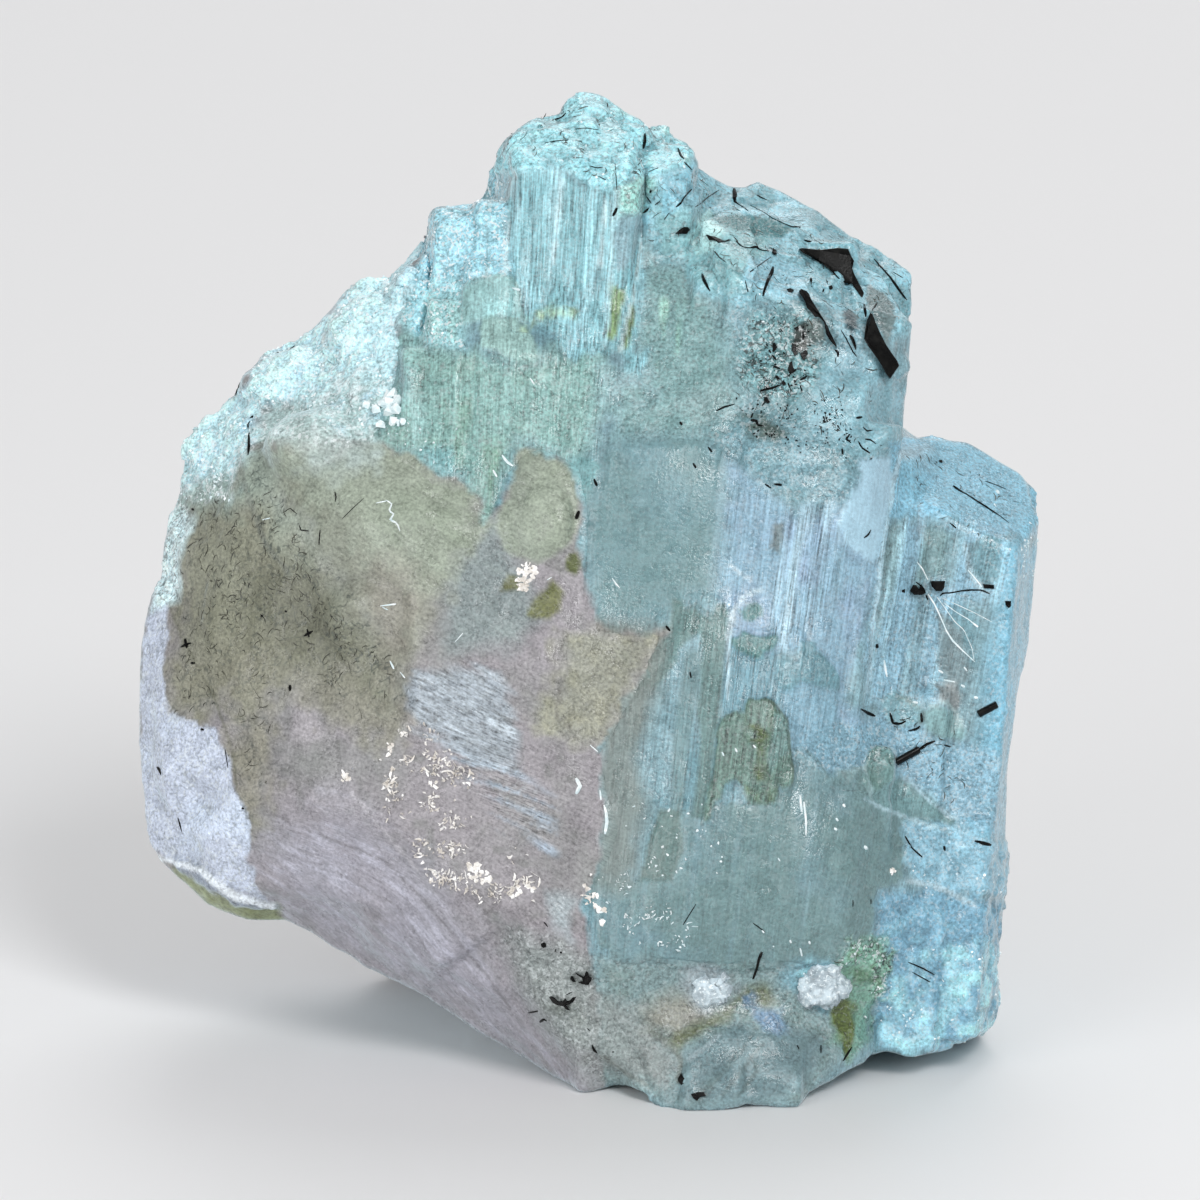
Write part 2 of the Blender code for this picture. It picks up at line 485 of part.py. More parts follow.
def schorl_prism(name, start, end, width, grow):
    """A six-sided black prism between two points, thicker and longer by grow."""
    axis = end - start
    length = axis.length + 2.0 * grow * MM
    radius = (0.5 * width + grow) * MM
    work = bmesh.new()
    bmesh.ops.create_cone(work, cap_ends=True, segments=6, radius1=radius, radius2=radius,
                          depth=length)
    turn = axis.to_track_quat("Z", "Y").to_matrix()
    bmesh.ops.rotate(work, verts=work.verts[:], matrix=turn)
    bmesh.ops.translate(work, verts=work.verts[:], vec=0.5 * (start + end))
    return new_object(name, work)


def schorl_chip(name, corners, front, thickness, grow):
    """A flat black mass with a broken outline, thicker and wider by grow."""
    outline = offset_line(corners, -grow, True)
    return extruded_outline(name, outline, front - thickness - grow, front + grow)


def plant_schorl(host, rows, first_number):
    """Sink schorl prisms a little into a host mineral, each in its own socket."""
    tree = surface_tree(host)
    sockets = []
    prisms = []
    for i, (u_1, v_1, u_2, v_2, width) in enumerate(rows):
        lift = SCHORL_LIFT_OF_WIDTH * width
        start = face_point(u_1, v_1, surface_depth(tree, u_1, v_1) + lift)
        end = face_point(u_2, v_2, surface_depth(tree, u_2, v_2) + lift)
        number = first_number + i
        prisms.append(schorl_prism(f"schorl_prism_{number}", start, end, width, 0.0))
        sockets.append(schorl_prism("socket", start, end, width, CONTACT_GAP))
    combine(host, sockets, "DIFFERENCE")
    keep_largest_body(host)
    return prisms


def plant_schorl_mass(host):
    """Sink the large broken mass into the slanted end of the right top crystal."""
    tree = surface_tree(host)
    depths = [surface_depth(tree, u, v) for u, v in SCHORL_MASS]
    front = sum(depths) / len(depths) + SCHORL_MASS_LIFT
    mass = schorl_chip("schorl_mass", SCHORL_MASS, front, SCHORL_MASS_THICKNESS, 0.0)
    socket = schorl_chip("socket", SCHORL_MASS, front, SCHORL_MASS_THICKNESS, CONTACT_GAP)
    combine(host, [socket], "DIFFERENCE")
    keep_largest_body(host)
    return mass


def plant_albite(host):
    """Set the albite lumps into pockets of the ledge at the foot."""
    tree = surface_tree(host)
    pockets = []
    lumps = []
    for i, (u, v, half_u, half_v, half_w) in enumerate(ALBITE_LUMPS):
        middle = (u, v, surface_depth(tree, u, v) - ALBITE_SINK * half_w)
        half_sizes = (half_u, half_v, half_w)
        pocket_sizes = [size + POCKET_GROWTH for size in half_sizes]
        seed = ALBITE_SEED + i
        lumps.append(faceted_lump(f"albite_lump_{i + 1}", middle, half_sizes, seed))
        pockets.append(faceted_lump("pocket", middle, pocket_sizes, seed))
    combine(host, pockets, "DIFFERENCE")
    keep_largest_body(host)
    return lumps


def stone_material(name, colour, roughness, transmission=0.0):
    """A plain Principled material."""
    material = bpy.data.materials.new(name)
    material.use_nodes = True
    shader = material.node_tree.nodes["Principled BSDF"]
    shader.inputs["Base Color"].default_value = (*colour, 1.0)
    shader.inputs["Roughness"].default_value = roughness
    shader.inputs["Metallic"].default_value = 0.0
    shader.inputs["Transmission Weight"].default_value = transmission
    material.diffuse_color = (*colour, 1.0)
    return material


for leftover in list(bpy.data.objects):
    bpy.data.objects.remove(leftover)

# Aquamarine: one solid of parallel prisms that grew into each other
aquamarine = lump_of_two_sheets("aquamarine")
prisms = [beryl_prism("prism", *row) for row in BERYL_PRISMS] + back_prisms()
combine(aquamarine, prisms, "UNION")
combine(aquamarine, [silhouette_block("silhouette"), part_of_contact("side", 1)], "INTERSECT")
combine(aquamarine, [ground_block("ground")], "DIFFERENCE")
keep_largest_body(aquamarine)
albite_lumps = plant_albite(aquamarine)
schorl_pieces = [plant_schorl_mass(aquamarine)]
schorl_pieces += plant_schorl(aquamarine, SCHORL_IN_BERYL, 1)

# Quartz: the matrix that the aquamarine grew on, with rounded lobes and broken faces
quartz_matrix = lump_of_two_sheets("quartz_matrix")
lobes = [faceted_lump("lobe", row[:3], row[3:], i) for i, row in enumerate(QUARTZ_LOBES)]
combine(quartz_matrix, lobes, "UNION")
combine(quartz_matrix, [silhouette_block("silhouette"), part_of_contact("side", -1)],
        "INTERSECT")
combine(quartz_matrix, [ground_block("ground")], "DIFFERENCE")
keep_largest_body(quartz_matrix)
schorl_pieces += plant_schorl(quartz_matrix, SCHORL_IN_QUARTZ, len(SCHORL_IN_BERYL) + 1)

aquamarine.data.materials.clear()
aquamarine.data.materials.append(stone_material("aquamarine", (0.36, 0.66, 0.66), 0.25, 0.3))
quartz_matrix.data.materials.clear()
quartz_matrix.data.materials.append(stone_material("quartz", (0.62, 0.62, 0.60), 0.35, 0.15))
schorl_black = stone_material("schorl", (0.012, 0.012, 0.014), 0.25)
for schorl in schorl_pieces:
    schorl.data.materials.append(schorl_black)
albite_white = stone_material("albite", (0.88, 0.90, 0.93), 0.5)
for lump in albite_lumps:
    lump.data.materials.append(albite_white)

# Lean the face back and set the middle of the root's box on the origin
specimen = bpy.data.objects.new("specimen", None)
bpy.context.scene.collection.objects.link(specimen)
specimen.rotation_euler = (-FACE_LEAN, 0.0, 0.0)
specimen.location = (CENTRE_U * MM, CENTRE_Y * MM, -TOE_DEPTH * math.sin(FACE_LEAN) * MM)
for piece in [aquamarine, quartz_matrix] + albite_lumps + schorl_pieces:
    piece.parent = specimen
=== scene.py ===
import math

import bmesh
import bpy
import numpy as np
from mathutils import Matrix, Vector
from mathutils.bvhtree import BVHTree


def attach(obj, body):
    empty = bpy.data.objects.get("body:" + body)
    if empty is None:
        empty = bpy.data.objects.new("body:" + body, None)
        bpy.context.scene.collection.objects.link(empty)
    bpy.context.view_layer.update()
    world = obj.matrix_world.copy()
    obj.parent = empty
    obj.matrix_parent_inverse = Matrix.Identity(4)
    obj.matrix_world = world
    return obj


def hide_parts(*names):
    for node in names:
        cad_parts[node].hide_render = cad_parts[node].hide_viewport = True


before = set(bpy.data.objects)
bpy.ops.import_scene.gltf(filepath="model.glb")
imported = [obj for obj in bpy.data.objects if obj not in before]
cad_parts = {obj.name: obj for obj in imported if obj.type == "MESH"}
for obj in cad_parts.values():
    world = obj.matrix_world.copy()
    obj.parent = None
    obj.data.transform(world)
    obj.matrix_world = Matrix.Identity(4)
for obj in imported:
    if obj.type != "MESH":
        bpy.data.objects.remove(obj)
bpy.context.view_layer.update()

# Quartz matrix
# Milky quartz that the aquamarine grew on, broken off the pocket wall. Its face is one lumpy
# fracture with a sugary crust along the upper left edge, brown-green iron stain in the middle
# and a bruised, icy patch where it was struck.
MM = 0.001
FACE_LEAN = math.radians(15.0)
TOE_DEPTH = 15.0
FOOT_OFFSET = (0.83, -8.64)
PIXEL = 0.07
MIDDLE_PIXEL = 600.0
GROUND_PIXEL = 1104.0
AIM_HEIGHT = 35.28
RIM_DEPTH = -3.0
VIEW_DISTANCE = 1300.0
VOXEL = 0.24
MOST_TRIANGLES = 185000
FADED_OUT = RIM_DEPTH - 14.0
FADE_STARTS = RIM_DEPTH - 8.0
PLUG_GROW = 0.45
PLUG_SINK = 0.6
FAR_OFF = 1e9

lean = np.array(((1.0, 0.0, 0.0),
                 (0.0, math.sin(FACE_LEAN), -math.cos(FACE_LEAN)),
                 (0.0, math.cos(FACE_LEAN), math.sin(FACE_LEAN))))
foot = np.array((*FOOT_OFFSET, -TOE_DEPTH * math.sin(FACE_LEAN)))

# Outlines in pixels of the photograph, across,down for each point
QUARTZ_REGIONS = dict(
    snow="""432,226 400,246 385,274 360,278 330,312 300,330 262,350 240,382 178,438 174,470 182,502
        200,502 235,500 240,470 262,440 262,408 300,405 340,440 375,440 400,400 398,360 402,325 418,275
        424,240""",
    snow_foot="250,445 262,408 300,400 340,385 375,380 398,400 376,440 340,450 300,440",
    snow_hem="300,434 375,438 374,466 335,474 300,464",
    snow_skirt="178,484 232,474 262,446 282,455 264,490 240,512 205,516 180,512",
    sugar_edge="182,500 162,512 164,560 155,610 180,600 182,560 196,520",
    stain="""240,455 262,470 290,500 330,560 372,620 402,670 412,712 380,738 330,705 300,680 272,700
        268,790 254,822 240,800 224,750 240,730 225,700 200,725 172,712 166,665 186,640 172,606 180,560
        200,505 240,500""",
    taupe="345,560 400,560 440,600 424,640 402,670 412,712 395,730 380,690 365,640",
    deep_stain="""205,510 240,500 265,540 310,565 345,605 378,660 388,705 345,705 300,680 262,650 225,650
        200,630 195,580""",
    stain_core="252,575 290,568 322,590 352,640 345,675 310,665 268,628",
    stain_edge="200,505 245,505 252,540 235,590 200,600 176,590 182,560",
    stain_tail="232,735 264,730 268,790 254,815 240,795",
    stain_fade="296,676 340,672 372,690 388,728 372,738 330,710",
    beige_low="308,515 350,515 372,580 345,600 315,560",
    beige_right="385,500 430,496 470,488 484,524 462,545 420,530 395,540",
    beige="""376,440 395,448 412,449 422,457 430,467 438,477 455,478 470,485 479,500 484,524 470,545
        452,570 444,600 430,615 424,640 412,652 400,656 384,630 360,600 330,560 290,500 262,470 262,440
        300,440 340,450""",
    knuckle="""516,455 525,448 540,452 546,460 556,461 566,466 573,477 575,492 578,506 581,520 577,532
        570,545 556,556 540,562 520,560 505,545 498,530 496,516 504,500 511,482""",
    bluish="480,530 500,510 505,540 520,560 535,590 545,620 520,650 450,650 440,600 452,570",
    lavender="""158,600 170,606 172,640 164,670 170,712 200,725 216,728 224,750 240,792 252,822 246,855
        272,905 200,870 162,857 145,838 138,700 148,640""",
    underside="162,857 205,880 240,900 275,903 285,918 245,918 205,902",
    ridge="160,852 200,860 225,880 258,896 275,903 240,900 205,880 162,858",
    lilac="296,690 305,674 320,690 322,730 308,756 296,740",
    ice="410,690 422,672 450,664 500,672 512,690 510,710 520,730 520,772 480,765 445,745 420,725 408,708",
    ice_tail="445,745 480,765 520,772 545,800 550,850 520,830 480,800",
    rose="""560,640 590,628 612,629 640,634 668,631 660,645 650,655 648,670 634,688 622,695 618,715
        608,725 600,745 570,742 545,735 535,720 540,700 556,690 560,670""",
    shade="285,830 340,800 420,860 470,930 520,1010 580,1085 460,1010 285,918 272,905 255,870",
    pale_low="545,890 575,900 570,940 550,925",
    toe="500,920 560,940 600,960 600,1000 660,1085 600,1080 560,1040 520,980",
    grey_band="""240,452 262,455 285,490 310,530 340,570 372,620 400,668 412,700 402,726 380,700 350,665
        320,620 290,580 262,535 246,500 236,475""",
    moss_left="500,592 508,572 518,578 520,590 510,590",
    moss_low="526,616 532,602 545,590 552,578 565,592 560,612 548,618",
    moss_high="564,565 568,553 577,552 579,565 576,575 566,572")

# The side of the meeting line on which the eye sees quartz
QUARTZ_SIDE = """430,226 402,325 400,360 376,436 395,448 412,449 422,457 430,467 438,477 455,478 470,485
    479,500 484,524 494,512 505,496 512,478 516,456 525,448 540,452 546,460 556,461 566,466 573,477
    577,500 582,520 580,545 586,580 596,622 612,629 640,634 668,631 656,645 650,657 646,672 632,690
    620,700 618,716 606,735 602,745 604,800 600,860 590,885 582,905 590,950 600,1000 600,1040 612,1112
    400,1110 100,900 100,200"""
EVEN_CELL = 0.4
EVEN_BLUR = 2.2
OWN_BLUR = 0.5
SEAM_LAP = 0.6
SEAM_REACH = 4.0
RAYS_FROM = 60.0
NO_HIT = -99.0
BUMP_DEPTH = 0.1
SUGAR_AND_GLINT_WHITE = (244, 252, 254)
PEPPER_DARK = (40, 56, 56)
# Colour of the painted glow on thin edges
PAINTED_EDGE_GLOW = (222, 242, 248)
EVEN_CORNER = (-34.0, -1.0)
EVEN_CELLS = (170, 190)
# How far steps are blended into the slope, and where
EVENED = (
    (0.9, """606,445 700,440 760,470 880,440 925,455 925,560 880,600 850,720 885,740 890,880 860,950
        860,1040 800,1070 700,1085 640,1060 600,1000 560,950 580,880 600,740 590,620 583,520"""),
    (0.8, """415,340 440,280 470,260 540,270 610,280 700,300 760,330 850,350 880,430 845,480 700,450
        606,455 580,470 545,452 514,455 480,530 440,500 392,448"""),
    (0.6, "905,720 970,720 970,980 920,1010 880,1010 885,880"),
    (0.5, "450,230 490,200 560,190 600,200 600,320 470,320"))


def on_face(points):
    """Metres as the specimen stands, to millimetres to the right, up and out of its leaned face."""
    return (points / MM - foot) @ lean


def standing(points):
    """The way back from on_face."""
    return (points @ lean.T + foot) * MM


def as_seen(points):
    """The photograph's pixel in which the camera sees each point of the face's frame."""
    nearer = VIEW_DISTANCE / (VIEW_DISTANCE - (points[:, 2] - RIM_DEPTH))
    across = MIDDLE_PIXEL + points[:, 0] * nearer / PIXEL
    down = GROUND_PIXEL - (AIM_HEIGHT + (points[:, 1] - AIM_HEIGHT) * nearer) / PIXEL
    return np.stack((across, down), 1)


def plotted(path):
    """The points of a path that is written as across,down or across,down,thickness for each."""
    return np.array([point.split(",") for point in path.split()], float)


def from_edge(off, run):
    """How far the points are from a straight edge that starts at zero and ends at run."""
    along = np.clip(off @ run / (run @ run), 0.0, 1.0)
    return np.hypot(*(off - along[:, None] * run).T)


def gaps_to(pixels, path):
    """Millimetres from each pixel to an open line."""
    nearest = np.full(len(pixels), FAR_OFF)
    corners = plotted(path)
    for a, b in zip(corners, corners[1:]):
        nearest = np.minimum(nearest, from_edge(pixels - a, b - a))
    return nearest * PIXEL


def inside(pixels, outline):
    """Millimetres from each pixel to the outline, positive within it."""
    nearest = np.full(len(pixels), FAR_OFF)
    odd = np.zeros(len(pixels), bool)
    corners = plotted(outline)
    for a, b in zip(corners, np.roll(corners, -1, 0)):
        run = b - a
        off = pixels - a
        nearest = np.minimum(nearest, from_edge(off, run))
        if a[1] != b[1]:
            crosses = (pixels[:, 1] < a[1]) != (pixels[:, 1] < b[1])
            odd ^= crosses & (off[:, 0] < off[:, 1] * run[0] / run[1])
    return np.where(odd, nearest, -nearest) * PIXEL


def chance(cells, seed):
    """A number from 0 to 1 for each whole-number cell."""
    i = cells.astype(np.int64).astype(np.uint32)
    h = i[..., 0] * np.uint32(374761393) + i[..., 1] * np.uint32(668265263)
    h += i[..., 2] * np.uint32(2246822519) + np.uint32(seed * 974711 + 17)
    h = (h ^ (h >> np.uint32(13))) * np.uint32(1274126177)
    h = (h ^ (h >> np.uint32(15))) * np.uint32(2246822519)
    return (h ^ (h >> np.uint32(16))).astype(float) / 2 ** 32


def drift(points, cell, seed):
    """Smooth random swell from -1 to 1, as wide as the cell."""
    at = points / np.asarray(cell, float)
    low = np.floor(at)
    part = at - low
    part = part * part * (3 - 2 * part)
    swell = np.zeros(len(points))
    for corner in np.ndindex(2, 2, 2):
        share = np.prod(np.where(corner, part, 1 - part), 1)
        swell += share * chance(low + corner, seed)
    return swell * 2 - 1


def rough(points, cell, seed, octaves=4):
    """Swells of ever smaller cells added up, each half as high as the last."""
    total = np.zeros(len(points))
    for i in range(octaves):
        total += 0.5 ** i * drift(points, np.asarray(cell, float) / 2 ** i, seed + i)
    return total


def chips(points, cell, seed):
    """Flat chipped facets: a height from -1 to 1 that tilts across each random cell."""
    at = points / np.asarray(cell, float)
    low = np.floor(at)
    best = np.full(len(points), FAR_OFF)
    height = np.zeros(len(points))
    for corner in np.ndindex(3, 3, 3):
        cells = low + corner - 1
        pip = np.stack([chance(cells, seed + k) for k in range(3)], 1)
        off = at - cells - pip
        far = (off ** 2).sum(1)
        tilt = np.stack([chance(cells, seed + 3 + k) for k in range(3)], 1) - 0.5
        here = (chance(cells, seed + 6) - 0.5) + (off * tilt * 2).sum(1)
        height = np.where(far < best, here, height)
        best = np.minimum(best, far)
    return height


def smooth_step(x, low, high):
    """From 0 at low to 1 at high, with soft ends."""
    t = np.clip((x - low) / (high - low), 0.0, 1.0)
    return t * t * (3 - 2 * t)


def merged(node, grow=0.0, sink=0.0):
    """A CAD solid with its loose triangles joined, on the face's frame in millimetres."""
    solid = bmesh.new()
    solid.from_mesh(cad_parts[node].data)
    bmesh.ops.remove_doubles(solid, verts=solid.verts[:], dist=1e-7)
    solid.normal_update()
    points = on_face(np.array([v.co for v in solid.verts]))
    points += np.array([v.normal for v in solid.verts]) @ lean * grow
    points[:, 2] -= sink
    for vert, point in zip(solid.verts, points):
        vert.co = point
    mesh = bpy.data.meshes.new(node)
    solid.to_mesh(mesh)
    solid.free()
    return mesh


def show(name, mesh):
    """Puts a mesh into the scene as an object at the origin."""
    thing = bpy.data.objects.new(name, mesh)
    bpy.context.scene.collection.objects.link(thing)
    return thing


def evaluated(thing):
    """The object's mesh with its modifiers applied, and the modifiers gone."""
    made = thing.evaluated_get(bpy.context.evaluated_depsgraph_get())
    mesh = bpy.data.meshes.new_from_object(made)
    thing.modifiers.clear()
    thing.data = mesh
    return mesh


def skin_over(thing, voxel):
    """Turns the object's mesh into one closed skin of small even faces."""
    remesh = thing.modifiers.new("skin", "REMESH")
    remesh.mode = "VOXEL"
    remesh.voxel_size = voxel
    return evaluated(thing)


def grown_whole(name, node, plugs):
    """One fine skin over a CAD solid, with the sockets of its inclusions filled."""
    whole = bmesh.new()
    whole.from_mesh(merged(node))
    for plug in plugs:
        whole.from_mesh(merged(plug, PLUG_GROW, PLUG_SINK))
    mesh = bpy.data.meshes.new(name)
    whole.to_mesh(mesh)
    whole.free()
    thing = show(name, mesh)
    skin_over(thing, VOXEL)
    return thing


def search_tree(mesh):
    """A tree that finds where lines meet the mesh and which point of it is nearest."""
    return BVHTree.FromPolygons([v.co for v in mesh.vertices], [p.vertices for p in mesh.polygons])


def depth_seen(blur, *nodes):
    """How far the CAD solids stand out, on a blurred grid over the face."""
    trees = [search_tree(merged(node)) for node in nodes]
    depth, seen = np.zeros(EVEN_CELLS), np.zeros(EVEN_CELLS)
    for i, j in np.ndindex(EVEN_CELLS):
        start = Vector((EVEN_CORNER[0] + i * EVEN_CELL, EVEN_CORNER[1] + j * EVEN_CELL, RAYS_FROM))
        hits = [tree.ray_cast(start, Vector((0, 0, -1)))[0] for tree in trees]
        top = max((hit.z for hit in hits if hit), default=NO_HIT)
        if top > RIM_DEPTH:
            depth[i, j], seen[i, j] = top, 1.0
    across, up = (np.fft.fftfreq(n) for n in EVEN_CELLS)
    soft = np.exp(-2 * (math.pi * blur / EVEN_CELL) ** 2 * (across[:, None] ** 2 + up ** 2))
    depth, seen = (np.fft.ifft2(np.fft.fft2(grid) * soft).real for grid in (depth, seen))
    return depth / np.maximum(seen, 0.05)


def even_out(mesh, slope, own, seam):
    """Blends steps that stand too proud, and the seam, into the slope around them."""
    points, normals = points_of(mesh), outward(mesh)
    wall = smooth_step(normals[:, 2], 0.7, 0.3) * smooth_step(seam, 0.9, 1.0)
    at = (points[:, :2] - EVEN_CORNER) / EVEN_CELL
    low = np.clip(np.floor(at).astype(int), 0, np.array(EVEN_CELLS) - 2)
    (i, j), (a, b) = low.T, (at - low).T
    level, top = (grid[i, j] * (1 - a) * (1 - b) + grid[i + 1, j] * a * (1 - b)
                  + grid[i, j + 1] * (1 - a) * b + grid[i + 1, j + 1] * a * b
                  for grid in (slope, own))
    pixels = as_seen(points)
    share = np.max([smooth_step(inside(pixels, outline), -1.0, 1.5) * strength
                    for strength, outline in EVENED], 0)
    share = np.maximum(share, smooth_step(seam, 0.3, 0.9))
    share *= smooth_step(points[:, 2] - level, -5.0, -3.0)
    to_level = level - points[:, 2]
    points[:, 2] += (to_level + (level - top - to_level) * wall) * share
    points[:, :2] += normals[:, :2] * (wall * share * SEAM_LAP)[:, None]
    move_points(mesh, points)


def points_of(mesh):
    """The mesh's points as rows of an array."""
    flat = np.empty(len(mesh.vertices) * 3)
    mesh.vertices.foreach_get("co", flat)
    return flat.reshape(-1, 3)


def move_points(mesh, points):
    """Puts the points back into the mesh."""
    mesh.vertices.foreach_set("co", points.ravel())
    mesh.update()


def resting(points):
    """Lifts the points that would sink into the floor up to it."""
    sunk = np.minimum(points @ lean[2] + foot[2], 0.0)
    return points - sunk[:, None] * lean[2]


def outward(mesh):
    """The direction out of the skin at each point."""
    flat = np.empty(len(mesh.vertices) * 3)
    mesh.vertex_normals.foreach_get("vector", flat)
    return flat.reshape(-1, 3)


def neighbours_of(mesh):
    """A function that gives each point the mean of its neighbours' rows of values."""
    ends = np.empty(len(mesh.edges) * 2, np.int64)
    mesh.edges.foreach_get("vertices", ends)
    a, b = ends.reshape(-1, 2).T
    count = np.bincount(np.concatenate((a, b)), minlength=len(mesh.vertices))

    def mean(values):
        columns = [np.bincount(a, column[b], len(count)) + np.bincount(b, column[a], len(count))
                   for column in values.T]
        return np.stack(columns, 1) / count[:, None]

    return mean


def relax(mesh, rounds):
    """Evens out the skin by moving each point halfway to the middle of its neighbours."""
    mean, points = neighbours_of(mesh), points_of(mesh)
    for _ in range(rounds):
        points = points + (mean(points) - points) * 0.5
    move_points(mesh, points)


def keep(mesh, name, values):
    """Stores one number for each point of the skin, for the material to read."""
    mesh.attributes.new(name, "FLOAT", "POINT").data.foreach_set("value", values)


def thin_out(thing, points, normals, meet):
    """Joins the small triangles of the back and of the walls where two crystals touch."""
    behind = (points[:, 2] < RIM_DEPTH - 2.0) & (normals[:, 2] < 0.2)
    behind |= (meet > 0.99) & (normals[:, 2] < 0.3)
    group = thing.vertex_groups.new(name="behind")
    group.add(np.flatnonzero(behind).tolist(), 1.0, "REPLACE")
    thin = thing.modifiers.new("thin", "DECIMATE")
    thin.ratio = MOST_TRIANGLES / sum(len(p.vertices) - 2 for p in thing.data.polygons)
    thin.vertex_group = "behind"
    evaluated(thing)
    thing.vertex_groups.clear()


def hue(red, green, blue):
    """A colour as a screen shows it, from 0 to 255, in the renderer's linear light."""
    return (*(((c / 255 + 0.055) / 1.055) ** 2.4 for c in (red, green, blue)), 1.0)


def add(tree, kind, settings=(), family="ShaderNode", **sockets):
    """A node with its own settings, and values or links put into its sockets by name or number."""
    made = tree.nodes.new(family + kind)
    for name, value in dict(settings).items():
        setattr(made, name, value)
    for name, value in sockets.items():
        socket = made.inputs[int(name[1:])] if name[1:].isdigit() else made.inputs[name]
        if isinstance(value, bpy.types.NodeSocket):
            tree.links.new(value, socket)
        else:
            socket.default_value = value
    return made


def swirl(tree, place, scale, detail=3.0, shift=0.0):
    """Shader noise stretched to its own size along each axis, from 0 to 1."""
    at = add(tree, "Mapping", i0=place, Location=(shift, shift, shift),
             Scale=tuple(1 / s for s in scale)).outputs[0]
    return add(tree, "TexNoise", Vector=at, Scale=1.0, Detail=detail, Roughness=0.6).outputs[0]


def between(tree, value, low, high, bottom=0.0, top=1.0):
    """The value's way from low to high, as a number from bottom to top."""
    return add(tree, "MapRange", i0=value, i1=low, i2=high, i3=bottom, i4=top).outputs[0]


def sums(tree, how, *values):
    """The values added, multiplied or compared, one after another."""
    total = values[0]
    for value in values[1:]:
        total = add(tree, "Math", {"operation": how}, i0=total, i1=value).outputs[0]
    return total


def over(tree, share, below, above):
    """One colour laid over another by the share."""
    return add(tree, "Mix", {"data_type": "RGBA"}, i0=share, i6=below, i7=above).outputs[2]


def finish(tree, shader, colour, gloss, height, deep, strength=1.0):
    """Gives the shader its colour, its roughness and a bump as deep as said in millimetres."""
    bump = add(tree, "Bump", Strength=strength, Distance=deep * MM, Height=height).outputs[0]
    for name, value in (("Base Color", colour), ("Normal", bump), ("Roughness", gloss)):
        tree.links.new(value, shader.inputs[name])


def paint(colours, rows, region, patterns, edges):
    """Lays the regions' coats over the skin, each coat all over or where its pattern is."""
    for name, *coats in rows:
        edge, swing, *wobble = edges.get(name, edges["other"])
        swings = np.clip((patterns[wobble[0] if wobble else "crumb"] - 0.5) * 4, -1, 1) * swing
        for colour, share, *pattern in coats:
            cover = np.full(len(colours), share)
            if name:
                cover = cover * np.clip((region[name] + swings) / edge + 0.5, 0, 1)
            if pattern:
                kind, low, high = pattern
                cover = cover * np.clip((patterns[kind] - low) / (high - low), 0, 1)
            colours += (np.array(hue(*colour)[:3]) - colours) * cover[:, None]


def mottle(points, cell, seed, octaves):
    """Swells that mostly keep between 0 and 1."""
    return 0.5 + 0.13 * rough(points, cell, seed, octaves)


def grain_of(rows, region, count):
    """How strong ribs, crumbs, sugar with painted glints and pepper are at each point, by region."""
    grain = np.tile(np.array(rows[None], float), (count, 1))
    for name, strengths in rows.items():
        if name:
            cover = np.clip(region[name] / 0.4 + 0.5, 0, 1)[:, None]
            grain += (np.array(strengths, float) - grain) * cover
    return grain


def proudness(mesh):
    """How far each point stands proud of those around it, negative in a nook."""
    mean, points = neighbours_of(mesh), points_of(mesh)
    proud = ((points - mean(mean(mean(points)))) * outward(mesh)).sum(1)
    return mean(proud[:, None])[:, 0]


def keep_colour(mesh, name, values):
    """Stores a colour for each point of the skin, for the material to read."""
    if values.shape[1] == 3:
        values = np.hstack((values, np.ones((len(values), 1))))
    mesh.attributes.new(name, "FLOAT_COLOR", "POINT").data.foreach_set("color", values.ravel())


def keep_ways(mesh, name, ways):
    """Stores a place for each point of the skin, for streaks to follow."""
    mesh.attributes.new(name, "FLOAT_VECTOR", "POINT").data.foreach_set("vector", ways.ravel())


def stone(name):
    """A new material, its tree and its surface shader."""
    material = bpy.data.materials.new(name)
    material.use_nodes = True
    return material, material.node_tree, material.node_tree.nodes["Principled BSDF"]


def on_object(tree):
    """Object coordinates in millimetres on the face's frame."""
    place = add(tree, "TexCoord").outputs["Object"]
    return add(tree, "Mapping", i0=place, Location=tuple(-foot @ lean),
               Rotation=(FACE_LEAN - math.pi / 2, 0, 0), Scale=(1 / MM, 1 / MM, 1 / MM)).outputs[0]


